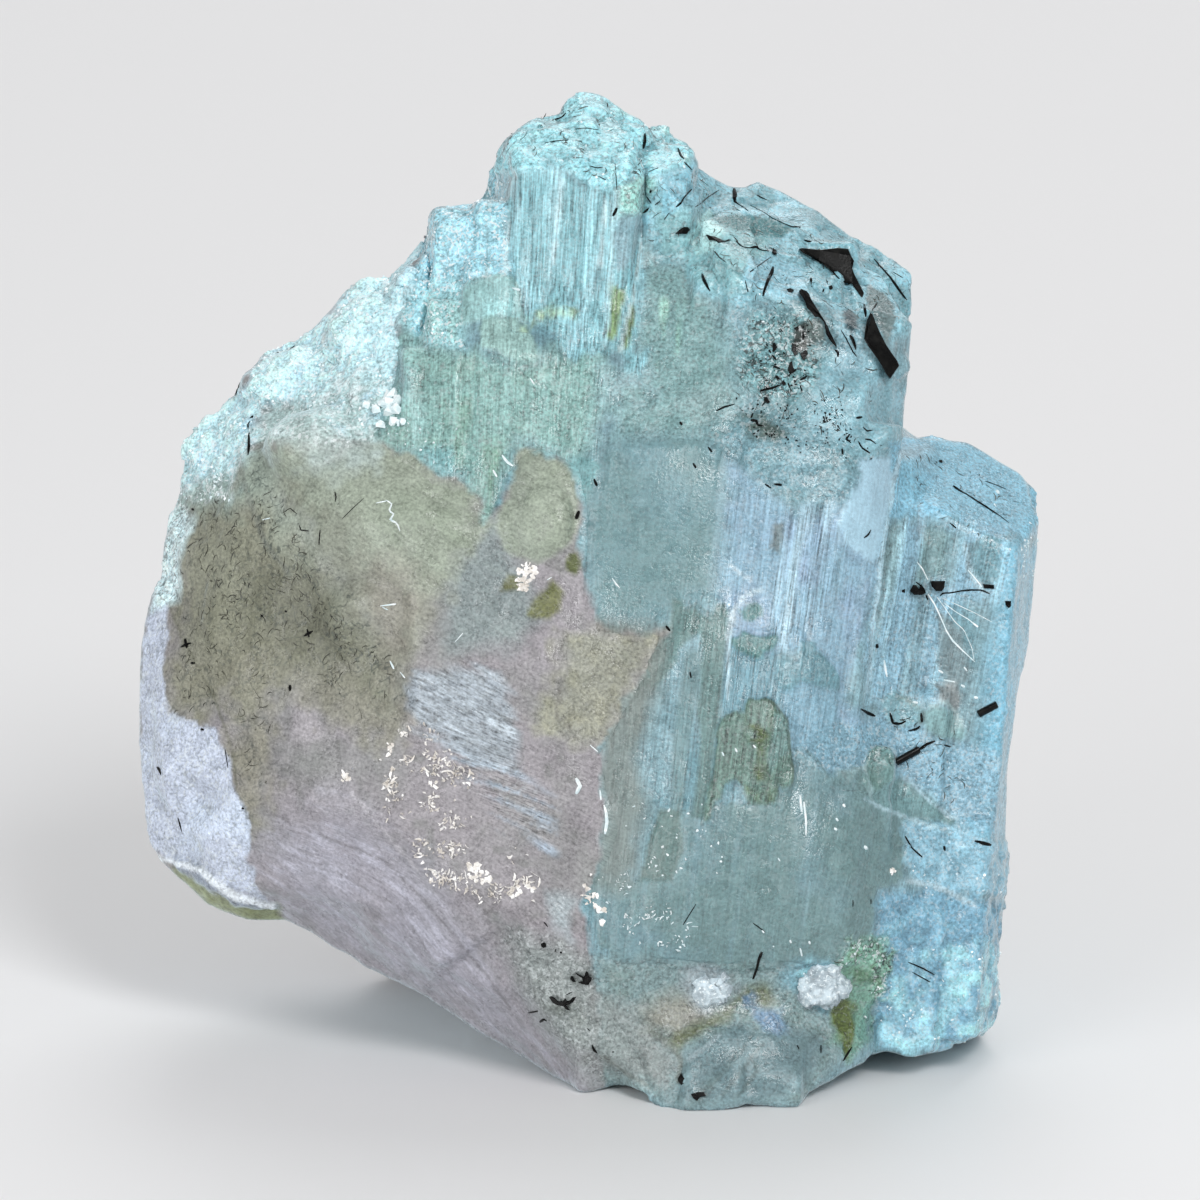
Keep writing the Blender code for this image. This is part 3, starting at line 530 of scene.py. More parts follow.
def crystal_look(name, ribs_from, ribs_size, gloss, ior, clear):
    """The skin's colours, painted edge light and shade included, with ribs, crumbs, patches, dark cracks,
    and white squiggles and specks that are partly sugary crystals and partly painted glints.
    """
    material, tree, shader = stone(name)
    place = on_object(tree)
    along = add(tree, "Attribute", {"attribute_name": ribs_from}).outputs["Vector"]
    tint = add(tree, "Attribute", {"attribute_name": "tint"}).outputs["Color"]
    grain = add(tree, "Attribute", {"attribute_name": "grain"})
    part = add(tree, "SeparateColor", i0=grain.outputs["Color"]).outputs
    ribs = swirl(tree, along, ribs_size, 2.0)
    crumb = swirl(tree, place, (0.22, 0.22, 0.22), 3.0, shift=7.0)
    sugar = swirl(tree, place, (0.3, 0.3, 0.3), 1.0, shift=3.0)
    patch = swirl(tree, place, (1.5, 1.5, 1.5), 2.0, shift=11.0)
    thread = swirl(tree, place, (0.8, 0.8, 0.8), 2.0, shift=5.0)
    crack = swirl(tree, place, (1.7, 1.7, 1.7), 2.0, shift=9.0)

    def line(noise, wide, thin):
        """A thin wandering line where the noise crosses its middle."""
        off = sums(tree, "SUBTRACT", noise, 0.5)
        off = add(tree, "Math", {"operation": "ABSOLUTE"}, i0=off).outputs[0]
        return between(tree, off, wide, thin)

    rib_tone = sums(tree, "MULTIPLY", between(tree, ribs, 0.3, 0.7, -1.0, 1.0), part[0])
    crumb_tone = sums(tree, "MULTIPLY", between(tree, crumb, 0.3, 0.7, -0.95, 0.95), part[1])
    patch_tone = sums(tree, "MULTIPLY", between(tree, patch, 0.44, 0.56, -0.14, 0.14), part[1])
    tone = sums(tree, "ADD", rib_tone, crumb_tone, patch_tone, 1.0)
    colour = add(tree, "VectorMath", {"operation": "SCALE"}, i0=tint, Scale=tone).outputs[0]
    # White squiggles and specks: partly sugary crystals, partly painted glints
    squiggle = sums(tree, "MULTIPLY", line(thread, 0.03, 0.01), between(tree, patch, 0.5, 0.56))
    bright = sums(tree, "MAXIMUM", between(tree, sugar, 0.6, 0.65), squiggle)
    white = sums(tree, "MULTIPLY", bright, part[2])
    colour = over(tree, white, colour, hue(*SUGAR_AND_GLINT_WHITE))
    cracked = sums(tree, "MULTIPLY", line(crack, 0.028, 0.008), between(tree, sugar, 0.42, 0.5))
    dark = sums(tree, "MAXIMUM", between(tree, crumb, 0.34, 0.29), cracked)
    black = sums(tree, "MULTIPLY", dark, grain.outputs["Alpha"])
    colour = over(tree, black, colour, hue(*PEPPER_DARK))
    ridges, grit = sums(tree, "MULTIPLY", ribs, part[0]), sums(tree, "MULTIPLY", crumb, 0.5)
    finish(tree, shader, colour, between(tree, patch, 0.4, 0.6, *gloss),
           sums(tree, "ADD", ridges, grit), BUMP_DEPTH)
    shader.inputs["IOR"].default_value = ior
    shader.inputs["Transmission Weight"].default_value = clear
    return material, tree


QUARTZ_GREY = (153, 149, 154)
QUARTZ_IOR = 1.544
# Softness of each edge and how far it wanders, in millimetres, by the crumb or another pattern
QUARTZ_EDGES = dict(
    other=(0.8, 0.4), grey_band=(2.0, 1.0, "cloud"), snow=(0.7, 1.0), snow_foot=(2.0, 1.6),
    stain=(2.6, 2.0), deep_stain=(3.2, 1.6, "cloud"), stain_core=(3.0, 1.4), taupe=(2.8, 1.4),
    beige=(1.4, 1.2), snow_hem=(1.8, 1.2), snow_skirt=(1.5, 1.0), stain_edge=(2.6, 1.4),
    stain_tail=(1.6, 1.2), stain_fade=(2.4, 1.4), beige_low=(2.2, 0.8), beige_right=(2.2, 0.8),
    lavender=(0.25, 0.3), ridge=(0.3, 0.1), underside=(0.4, 0.2), shade=(4.0, 1.0, "cloud"),
    ice=(0.8, 0.7, "slant"), ice_tail=(1.5, 0.8, "slant"), rose=(1.6, 1.4), lilac=(1.0, 0.3),
    knuckle=(0.5, 0.3), moss_left=(0.25, 0.2), moss_low=(0.3, 0.3), moss_high=(0.25, 0.2),
    bluish=(1.8, 0.8, "cloud"), toe=(2.0, 0.8, "cloud"))
# Coats of colour, with the share of each and the pattern that it keeps to, from none to full
# The snow's colours are raised in part as a painted glow, where light comes through its thin edge
QUARTZ_PAINT = (
    (None, ((142, 144, 143), 0.9, "cloud", 0.45, 0.62), ((118, 120, 118), 0.7, "crumb", 0.48, 0.36)),
    ("shade", ((173, 172, 185), 0.75, "cloud", 0.3, 0.5), ((207, 208, 224), 0.6, "slant", 0.5, 0.62),
        ((146, 143, 155), 0.5, "slant", 0.44, 0.36)),
    ("toe", ((140, 151, 149), 0.8), ((114, 122, 116), 0.6, "crumb", 0.46, 0.36)),
    ("pale_low", ((171, 183, 188), 0.9)),
    ("bluish", ((130, 142, 143), 1.0), ((158, 172, 170), 0.6, "slant", 0.54, 0.66)),
    ("beige", ((155, 165, 150), 1.0), ((140, 148, 137), 0.7, "cloud", 0.5, 0.36)),
    ("knuckle", ((152, 163, 147), 1.0), ((134, 144, 134), 0.6, "cloud", 0.52, 0.4)),
    ("rose", ((146, 148, 135), 1.0), ((162, 162, 141), 0.8, "crumb", 0.5, 0.66),
        ((123, 128, 114), 0.7, "crumb", 0.46, 0.34)),
    ("lilac", ((177, 173, 178), 0.8)),
    ("stain", ((137, 137, 121), 1.0)),
    ("grey_band", ((174, 193, 181), 0.6, "cloud", 0.4, 0.56)),
    ("stain", ((159, 160, 148), 0.6, "cloud", 0.5, 0.66)),
    ("taupe", ((144, 141, 131), 0.85)),
    ("deep_stain", ((129, 131, 113), 0.9)),
    ("stain_core", ((105, 107, 92), 0.85)),
    ("stain_edge", ((150, 153, 136), 0.6)),
    ("stain_tail", ((152, 149, 138), 0.6)),
    ("stain_fade", ((148, 147, 136), 0.7)),
    ("beige_low", ((138, 143, 130), 0.8)),
    ("beige_right", ((141, 153, 136), 0.7)),
    ("stain", ((96, 98, 79), 0.7, "crumb", 0.44, 0.32)),
    ("lavender", ((199, 209, 227), 1.0), ((217, 232, 252), 0.8, "cloud", 0.48, 0.6),
        ((168, 176, 180), 0.7, "crumb", 0.46, 0.34)),
    ("underside", ((145, 155, 121), 1.0), ((120, 127, 85), 0.8, "crumb", 0.5, 0.4)),
    ("ridge", ((131, 143, 160), 0.9)),
    ("ice", ((155, 165, 174), 1.0), ((187, 199, 208), 0.9, "slant", 0.5, 0.62),
        ((127, 135, 137), 0.9, "slant", 0.44, 0.34)),
    ("ice_tail", ((167, 189, 209), 0.7, "slant", 0.5, 0.62)),
    ("sugar_edge", ((221, 249, 255), 1.0), ((130, 153, 158), 0.6, "crumb", 0.44, 0.34)),
    ("snow", ((205, 246, 255), 1.0)),
    ("snow_foot", ((178, 205, 204), 0.9)),
    ("snow", ((175, 212, 233), 0.7, "crumb", 0.48, 0.34), ((245, 251, 255), 0.9, "sugar", 0.55, 0.66)),
    ("snow_foot", ((230, 245, 249), 0.8, "crumb", 0.54, 0.62)),
    ("snow_hem", ((174, 189, 185), 0.8)),
    ("snow_skirt", ((146, 160, 149), 0.8)),
    ("moss_left", ((104, 107, 60), 0.9)),
    ("moss_low", ((109, 114, 63), 0.9), ((83, 89, 42), 0.8, "crumb", 0.5, 0.4)),
    ("moss_high", ((77, 88, 26), 0.95)))


def past_seam(points, low, high):
    """0 to 1 across the line where the eye sees quartz and beryl meet, on the face alone."""
    depth = inside(as_seen(points), QUARTZ_SIDE) + rough(points, 1.0, 7, 3) * 0.3
    return facing_of(points) * smooth_step(depth, low, high)


def near_seam(mesh, node):
    """1 where the skin all but touches the CAD solid beside it, fading to 0 in a few millimetres."""
    tree = search_tree(merged(node))
    gaps = [tree.find_nearest(Vector(p), SEAM_REACH)[3] for p in points_of(mesh)]
    return smooth_step(np.array([SEAM_REACH if gap is None else gap for gap in gaps]), 3.5, 0.3)


# Strength of fine streaks, crumbs, white sugar with painted glints, and dark pepper in each region
QUARTZ_GRAIN = {
    None: (0.15, 0.35, 0.0, 0.0), "ice": (0.5, 0.35, 0.1, 0.1), "ice_tail": (0.5, 0.3, 0.1, 0.0),
    "bluish": (0.1, 0.4, 0.1, 0.1), "shade": (0.2, 0.2, 0.0, 0.1), "stain": (0.0, 0.4, 0.0, 0.35),
    "grey_band": (0.0, 0.4, 0.0, 0.5), "rose": (0.1, 0.45, 0.05, 0.15), "snow": (0.0, 0.5, 0.7, 0.1),
    "snow_foot": (0.0, 0.5, 0.6, 0.1), "sugar_edge": (0.0, 0.7, 0.7, 0.6),
    "lavender": (0.0, 0.4, 0.4, 0.3), "ridge": (0.0, 0.4, 0.3, 0.3), "toe": (0.0, 0.5, 0.3, 0.4)}

# Path, half its width in millimetres, colour and strength of cracks, seams and rims
QUARTZ_LINES = (
    ("172,606 185,640 195,660 215,698 226,728 232,752 240,790 250,815 262,824", 0.14, (96, 98, 80), 0.5),
    ("274,813 330,838 385,861 427,903 458,935 490,977 511,1008", 0.12, (116, 114, 118), 0.6),
    ("300,845 350,880 395,905 430,950", 0.1, (118, 116, 120), 0.5),
    ("350,790 400,850 430,882", 0.14, (196, 194, 200), 0.6),
    ("240,455 250,500 265,540 290,575", 0.3, (120, 126, 120), 0.5),
    ("160,856 205,868 238,892 275,902", 0.3, (236, 244, 250), 0.8),
    ("505,640 520,652 532,644", 0.15, (118, 120, 122), 0.6),
    ("560,690 556,715 572,730", 0.15, (120, 118, 110), 0.6),
    ("520,730 524,760 512,772", 0.15, (126, 128, 130), 0.6))


def draw_lines(colours, points, facing, lines):
    """Cracks, seams and rims, each a ragged line of its own colour over the skin."""
    pixels = as_seen(points)
    ragged = rough(points, 0.6, 6, 2) * 0.08
    for path, width, colour, share in lines:
        cover = smooth_step(gaps_to(pixels, path) + ragged, width, width * 0.3) * share * facing
        colours += (np.array(hue(*colour)[:3]) - colours) * cover[:, None]


def facing_of(points):
    """1 on the face that the photograph shows and just round its rim, 0 on the back."""
    return smooth_step(points[:, 2], FADED_OUT, FADE_STARTS)


def slanted(points):
    """The points along and across the streaks of the bruise, which bend as they run down."""
    turn = -np.radians(28 + 20 * smooth_step(points[:, 1], 27.0, 14.0))
    across, up, out = points.T
    return np.stack((across * np.cos(turn) + up * np.sin(turn),
                     up * np.cos(turn) - across * np.sin(turn), out), 1)


def kept_in_front(depth, facing):
    """Lets a region that the photograph shows fade out behind the rim."""
    return np.where(facing > 0, depth, -3.0) - (1 - facing) * 3.0


def quartz_look(points):
    """How far each point is into each region of the quartz, and its colour and grain there."""
    pixels, facing = as_seen(points), facing_of(points)
    ragged = rough(points, 1.3, 5) * 0.3
    region = {}
    for name, outline in QUARTZ_REGIONS.items():
        depth = inside(pixels, outline) + ragged * (0.3 if name.startswith("moss") else 1.0)
        region[name] = kept_in_front(depth, facing)
    patterns = dict(
        cloud=mottle(points, 4.0, 40, 4), crumb=mottle(points, 0.9, 41, 2),
        sugar=mottle(points, 0.6, 42, 1), slant=mottle(slanted(points), (3.0, 0.4, 1.0), 43, 2))
    colours = np.tile(np.array(hue(*QUARTZ_GREY)[:3]), (len(points), 1))
    paint(colours, QUARTZ_PAINT, region, patterns, QUARTZ_EDGES)
    draw_lines(colours, points, facing, QUARTZ_LINES)
    return region, colours, grain_of(QUARTZ_GRAIN, region, len(points))


def paint_edge_light_and_shade(mesh, colours, points, share, calm):
    """Paints light and shade into the colour: lighter proud edges, darker nooks, and a painted glow on
    thin edges where light would come through the crystal.
    """
    proud = np.clip(proudness(mesh) * 4, -0.15, 0.15) * (1 - calm)
    thin = smooth_step(outward(mesh)[:, 2], 0.5, 0.05) * facing_of(points) * share * (1 - calm)
    colours *= (1 + proud)[:, None]
    colours += (np.array(hue(*PAINTED_EDGE_GLOW)[:3]) - colours) * thin[:, None]


slope = depth_seen(EVEN_BLUR, "quartz_matrix", "aquamarine")
quartz = grown_whole("quartz", "quartz_matrix", ("schorl_prism_11", "schorl_prism_12"))
relax(quartz.data, 8)
meet = near_seam(quartz.data, "aquamarine")
even_out(quartz.data, slope, depth_seen(OWN_BLUR, "quartz_matrix"), meet)
relax(quartz.data, 3)
points = points_of(quartz.data)
region, colours, grain = quartz_look(points)
crust = smooth_step(np.maximum(region["snow"], region["sugar_edge"]), -0.3, 0.8)
icy = smooth_step(np.maximum(region["ice"], region["ice_tail"]), -0.2, 0.6)
height = 0.15 + rough(points, 5.0, 11) * 0.2 + rough(points, 0.9, 12, 2) * 0.03
height += crust * (chips(points, 0.9, 13) * 0.22 + rough(points, 0.6, 14, 1) * 0.06)
height += icy * rough(slanted(points), (2.2, 0.35, 0.8), 15, 2) * 0.1
height += smooth_step(region["stain"], 0, 1.2) * rough(points, 0.7, 16, 2) * 0.04
height += smooth_step(region["knuckle"], 0, 1.5) * 0.25
height += smooth_step(region["ridge"], -0.2, 0.3) * 0.3
height += meet * 0.1
normals = outward(quartz.data)
move_points(quartz.data, resting(points + normals * height[:, None]))
# Painted light and shade on the quartz: lighter ridges and thin edges, darker nooks
paint_edge_light_and_shade(quartz.data, colours, points, 0.6, meet)
keep_colour(quartz.data, "tint", np.clip(colours, 0, 1))
keep_colour(quartz.data, "grain", grain)
keep(quartz.data, "stain_depth", region["stain"])
keep(quartz.data, "snow_depth", region["snow"])
keep_ways(quartz.data, "slant", slanted(points))
thin_out(quartz, points, normals, meet)


def coat(mesh, material):
    """Gives the mesh this material alone."""
    mesh.materials.clear()
    mesh.materials.append(material)


def stand_up(mesh):
    """Puts a mesh from the face's frame onto its foot, in metres."""
    mesh.transform(Matrix.Scale(MM, 4) @ Matrix.Translation(foot) @ Matrix(lean).to_4x4())


material, _ = crystal_look("milky_quartz", "slant", (0.8, 0.17, 0.4), (0.2, 0.45), QUARTZ_IOR, 0.1)
coat(quartz.data, material)
quartz_shell = quartz.data.copy()
stand_up(quartz.data)
quartz.data.shade_smooth()
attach(quartz, "root")
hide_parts("quartz_matrix")

# Aquamarine
# One mass of beryl crystals grown side by side along their long axis: striated prism faces,
# a lumpy cap on the tallest crystal, etched ends, and later growth that ends in castle-like
# steps. It is pale blue and clear in places, with veils, yellow-green stain and a rough foot.
BERYL_REGIONS = dict(
    pale_face="""724,455 745,465 770,490 800,510 840,500 866,462 897,455 888,500 880,560 873,590 860,640
        838,700 872,722 858,765 800,760 788,740 789,700 800,652 770,650 730,644 727,612 712,592 716,540""",
    etched="""735,300 765,298 800,296 838,310 862,325 880,380 900,372 905,430 896,455 866,462 840,500
        800,510 770,490 740,460 700,440 740,400 720,310""",
    peppered="748,318 780,312 815,316 822,345 815,375 800,398 760,402 740,378 742,340",
    hazy="820,352 850,362 893,372 903,430 880,455 845,452 815,430 805,400 818,375",
    tip_left="655,205 700,212 730,225 770,238 760,275 735,290 700,285 684,262 660,258",
    grey_teal="""643,240 660,262 684,262 700,290 720,310 740,400 700,440 620,440 606,380 628,372 645,370
        634,340 641,300""",
    pale_bars="655,302 680,300 678,340 665,370 650,372 645,345",
    green="""398,330 430,345 466,352 534,362 560,352 600,356 606,380 600,420 590,450 574,462 514,445
        500,470 483,524 478,501 461,478 440,478 422,455 392,448 375,435 392,410 400,380""",
    tip="""654,178 692,164 716,180 737,191 762,180 800,204 850,238 880,252 913,275 909,305 905,335 880,340
        862,325 838,310 800,296 765,298 735,300 700,290 684,262 660,262 642,216 650,198""",
    wedge="706,219 735,215 770,223 790,234 780,240 738,232",
    pane_right="868,285 884,292 895,306 893,330 886,345 872,320 866,300",
    pane_left="803,322 822,318 826,340 808,346 803,340",
    stain_high="795,325 806,322 808,350 798,356 790,345",
    stain_low="740,412 765,415 790,435 775,445 750,438",
    smooth="""606,445 700,440 724,460 722,520 714,560 712,590 690,602 660,618 640,628 596,622 590,560
        583,510 595,480""",
    blue_stripe="862,462 898,455 888,500 879,555 866,560 845,540 838,520 850,495",
    bars="784,520 800,506 835,505 842,540 838,580 800,650 770,652 768,600 778,560",
    rose_line="773,525 784,522 780,556 770,548",
    block_top="""886,440 905,436 920,440 935,431 960,440 1010,455 1050,470 1065,492 1065,540 1000,535
        960,520 920,518 884,525 890,490""",
    block_face="""882,525 920,518 960,522 1000,537 1012,560 1000,600 960,600 943,640 938,700 905,705
        870,700 860,650 872,590""",
    grey_pane="968,545 985,535 1000,540 1000,580 985,590 972,575",
    pink_high="938,612 950,620 964,634 966,650 970,666 966,682 950,680 938,668 938,640",
    pink_low="934,686 956,684 961,700 956,716 946,707 936,700",
    margin="""1012,545 1065,540 1062,600 1052,660 1038,730 1032,800 1028,850 965,836 955,815 975,760
        985,690 992,640 1000,600""",
    blue_shelf="""838,722 870,722 895,700 925,735 965,745 1000,755 998,830 956,818 905,778 892,765 860,768
        838,772 790,765 790,745""",
    lower="""789,765 792,753 800,748 804,756 812,758 816,768 826,775 845,772 862,768 870,800 905,800
        900,830 905,880 878,890 868,940 872,960 800,965 740,970 690,965 640,960 600,950 590,880 640,880
        660,810 700,815 715,800 750,805 775,803 780,790""",
    stream="683,650 680,680 674,720 670,760 672,812 678,816 684,780 690,740 694,720 700,690 701,650",
    dark_strip="""672,600 682,602 686,612 695,605 700,612 712,618 716,606 724,605 728,612 727,640 724,660
        723,690 720,715 716,740 712,780 703,820 690,818 697,780 700,740 698,700 702,660 700,635 690,640
        680,650 676,660 655,690 640,690 650,660 660,640 668,625 672,612""",
    dark_facet="660,810 680,812 684,850 672,880 640,880 646,850",
    veil="600,620 665,632 660,690 640,760 645,800 640,870 620,890 600,880 596,800 600,740",
    castle="""722,718 730,714 738,712 745,712 746,705 750,699 757,701 765,699 772,703 775,710 782,713
        787,722 789,740 790,760 792,775 790,785 782,790 778,786 776,795 774,803 757,803 748,804 745,795
        742,785 735,780 725,785 722,800 715,802 710,820 703,824 706,800 712,780 715,760 718,740 716,735
        720,725""",
    castle_rust="""748,724 755,723 762,727 766,732 768,738 765,742 763,760 766,770 765,778 758,783 754,778
        754,768 757,758 756,745 750,742 748,738 756,738 754,732 748,729""",
    little_castle="""866,755 868,750 875,748 890,750 892,757 892,770 890,782 880,793 872,795 860,785
        862,768""",
    moss_left_cap="878,700 892,690 905,698 922,706 922,722 905,728 886,722",
    moss_right_cap="925,712 938,705 952,712 966,728 962,740 940,738 926,730",
    dark_wedge="862,800 892,780 905,778 935,802 956,820 948,830 905,815",
    pale_shelf="904,825 930,818 965,832 1028,850 1026,900 965,895 930,886 905,876",
    crumbled_foot="""878,892 930,888 965,895 1026,900 1018,960 1018,1000 1005,1035 950,1050 905,1050
        880,1042 870,1010 872,950""",
    foot_white="885,985 905,975 940,950 975,945 1010,960 1005,1030 950,1045 905,1050 880,1020",
    base_ribs="""683,1050 720,1030 745,1022 770,1035 820,1030 826,1060 800,1090 780,1102 690,1106 668,1095
        682,1080""",
    apron="598,1000 640,1012 648,1030 672,1045 682,1062 668,1086 630,1080 598,1070",
    foot_slope="596,955 700,962 870,962 874,1000 868,1040 840,1062 800,1104 690,1110 640,1095 590,1084",
    pink_apron="641,1010 655,1000 690,988 714,1005 716,1020 690,1032 672,1038 650,1030",
    tan_patch="""745,990 765,985 773,1000 768,1012 752,1003 738,1003 724,1024 700,1036 680,1048 668,1040
        692,1028 714,1015 730,1000""",
    white_left="680,985 686,966 702,963 728,970 738,990 724,1006 708,1014 692,1006",
    white_right="780,975 795,960 815,956 838,964 844,985 832,1002 826,1014 810,1008 798,992 784,988",
    violet="744,997 750,996 760,1008 778,1012 785,1028 778,1036 763,1030 750,1015",
    green_crust="836,962 846,940 880,938 893,955 888,990 870,1010 868,1040 850,1060 830,1040 832,1000",
    rust="830,1005 832,994 848,1000 851,1038 845,1052 838,1044 831,1030",
    low_dome="""484,320 500,318 514,320 522,328 531,336 536,346 536,362 520,364 510,358 498,352 483,348
        481,335""",
    yellow_arc="524,334 528,322 536,311 550,306 566,306 576,311 574,318 560,314 546,316 538,322 533,334",
    lilac_patch="600,380 605,370 622,374 650,376 662,384 656,400 640,406 622,404 606,398",
    blue_tip="422,452 440,445 455,450 456,478 440,479 432,468",
    olive_streaks="""440,400 478,396 482,440 500,440 516,446 506,470 500,500 484,520 478,500 462,470
        448,440""",
    teal_wedge="562,460 578,457 596,461 602,468 593,485 588,502 583,500 578,485 571,470",
    lavender_blade="662,200 668,184 692,166 702,176 690,196 672,214 662,216",
    pale_blade="692,222 706,212 724,232 716,252 698,256 684,240",
    white_blade="745,262 770,258 800,270 812,300 790,300 765,296 742,280",
    dark_blade="843,312 850,308 857,316 858,330 850,334 845,326",
    right_blade="818,215 850,236 880,250 884,262 862,262 850,248 822,246 806,230",
    rust_foot="746,786 750,790 755,795 764,792 776,788 776,795 774,801 766,803 752,803 746,800 744,792",
    castle_glass="772,712 782,714 787,725 788,745 786,757 778,758 770,776 766,760 770,740 772,728",
    rib_window="""728,640 740,640 745,652 760,660 775,652 778,660 780,700 775,705 770,700 752,700 744,712
        738,713 724,715 722,700 724,670""",
    step_patch="""731,640 740,637 742,632 752,636 762,637 776,635 778,640 774,650 766,652 758,660 745,655
        735,650""",
    small_patch="740,612 748,605 756,602 762,608 763,616 758,618 752,622 744,620",
    pale_steps="""782,690 800,682 820,688 838,690 836,716 842,722 860,745 862,768 845,772 826,775 816,768
        812,758 804,756 800,748 792,753 790,740 788,722 780,710""",
    mid_patch="""779,662 785,656 795,665 798,660 800,642 814,641 816,650 823,657 833,668 838,676 838,690
        820,688 800,682 790,690 782,690 778,676""",
    block_grey="888,528 905,520 930,522 962,530 985,545 975,575 960,590 930,578 905,600 885,600 880,560",
    striated="""505,176 553,164 584,184 617,192 618,215 612,235 614,265 628,262 641,240 641,300 634,340
        640,352 652,345 650,365 640,375 622,373 620,358 600,355 588,355 582,358 575,362 568,358 560,352
        556,335 540,322 524,325 518,285 508,270""",
    shoulder="""426,222 436,206 462,200 478,204 486,186 490,172 506,176 508,240 510,272 482,278 466,288
        462,312 466,350 430,345 400,325 410,300 418,272 421,248""",
    shoulder_low="400,300 430,285 470,290 468,352 434,348 398,348",
    tower="""466,286 475,278 485,276 500,274 510,277 518,285 521,300 525,322 514,320 500,318 484,320
        463,326 462,308""",
    window="481,305 487,301 497,299 513,298 514,318 486,319",
    yellow_left="""608,282 614,285 620,292 625,288 624,300 621,310 619,325 616,338 610,342 607,335 610,310
        609,290""",
    yellow_right="633,305 635,315 632,330 629,345 626,350 622,350 624,330 629,312",
    crest="617,190 640,176 654,180 650,198 642,216 620,216",
    cap="""484,176 500,150 520,132 540,118 562,116 570,98 585,92 608,98 625,116 642,120 665,126 682,138
        692,154 686,167 672,172 650,178 640,177 617,190 608,189 596,187 584,182 566,170 550,162 543,170
        520,174 500,176""")
EXACT = (
    "wedge", "dark_blade", "lavender_blade", "pale_blade", "white_blade", "right_blade", "pane_left",
    "pane_right", "stain_high", "stain_low", "rose_line", "window", "castle", "castle_glass",
    "castle_rust", "rust_foot", "little_castle", "moss_left_cap", "moss_right_cap", "step_patch",
    "small_patch", "mid_patch", "rib_window", "dark_strip", "dark_facet", "stream", "pale_steps",
    "grey_pane", "pink_high", "pink_low", "teal_wedge", "dark_wedge", "yellow_left", "yellow_right",
    "tower", "low_dome")
STEP_WIDTH = 0.55
STEP_HEIGHT = 1.3
FAN_LEVEL = 600
FAN_LEAN = 0.10125
FAN_SPREAD = 0.0003125
BERYL_BLUE = (143, 178, 188)
BERYL_IOR = 1.577
DEEP_BLUE = (0.72, 0.95, 1.0, 1.0)
DEEP_DENSITY = 40.0
BERYL_EDGES = dict(
    other=(0.2, 0.1), lilac_patch=(1.2, 0.6), yellow_arc=(0.5, 0.4), olive_streaks=(1.0, 0.5),
    blue_tip=(0.8, 0.4), block_grey=(0.8, 0.6, "ribs"), pale_face=(0.8, 0.3), etched=(2.0, 1.0, "cloud"),
    blue_stripe=(0.35, 0.2), bars=(0.35, 0.2), block_top=(0.35, 0.2), lower=(0.35, 0.2), cap=(0.35, 0.2),
    grey_teal=(2.0, 0.8), pale_bars=(0.6, 0.6, "ribs"), green=(2.0, 0.9), tip=(0.8, 0.3),
    peppered=(1.4, 1.2), hazy=(2.0, 1.2), tip_left=(1.0, 0.6), stain_high=(0.2, 0.2),
    stain_low=(0.5, 0.6), smooth=(2.4, 1.2), pink_high=(0.4, 0.5), pink_low=(0.4, 0.5), margin=(1.6, 0.5),
    block_face=(1.0, 0.5, "ribs"), blue_shelf=(0.8, 0.5), stream=(0.5, 0.4, "ribs"),
    dark_strip=(0.3, 0.2), veil=(1.6, 1.0, "cloud"), castle_rust=(0.25, 0.3), pale_shelf=(0.5, 0.4),
    crumbled_foot=(0.9, 0.5), foot_white=(1.4, 1.2), base_ribs=(1.2, 0.4), apron=(1.4, 0.6, "cloud"),
    foot_slope=(1.0, 0.5), pink_apron=(1.6, 0.6), tan_patch=(0.8, 0.5), white_left=(0.8, 0.5),
    white_right=(0.8, 0.6), violet=(0.6, 0.4), green_crust=(0.6, 0.6), rust=(0.5, 0.6),
    striated=(0.5, 0.5, "ribs"), shoulder=(0.8, 0.5), shoulder_low=(1.6, 1.2), crest=(0.5, 0.3))
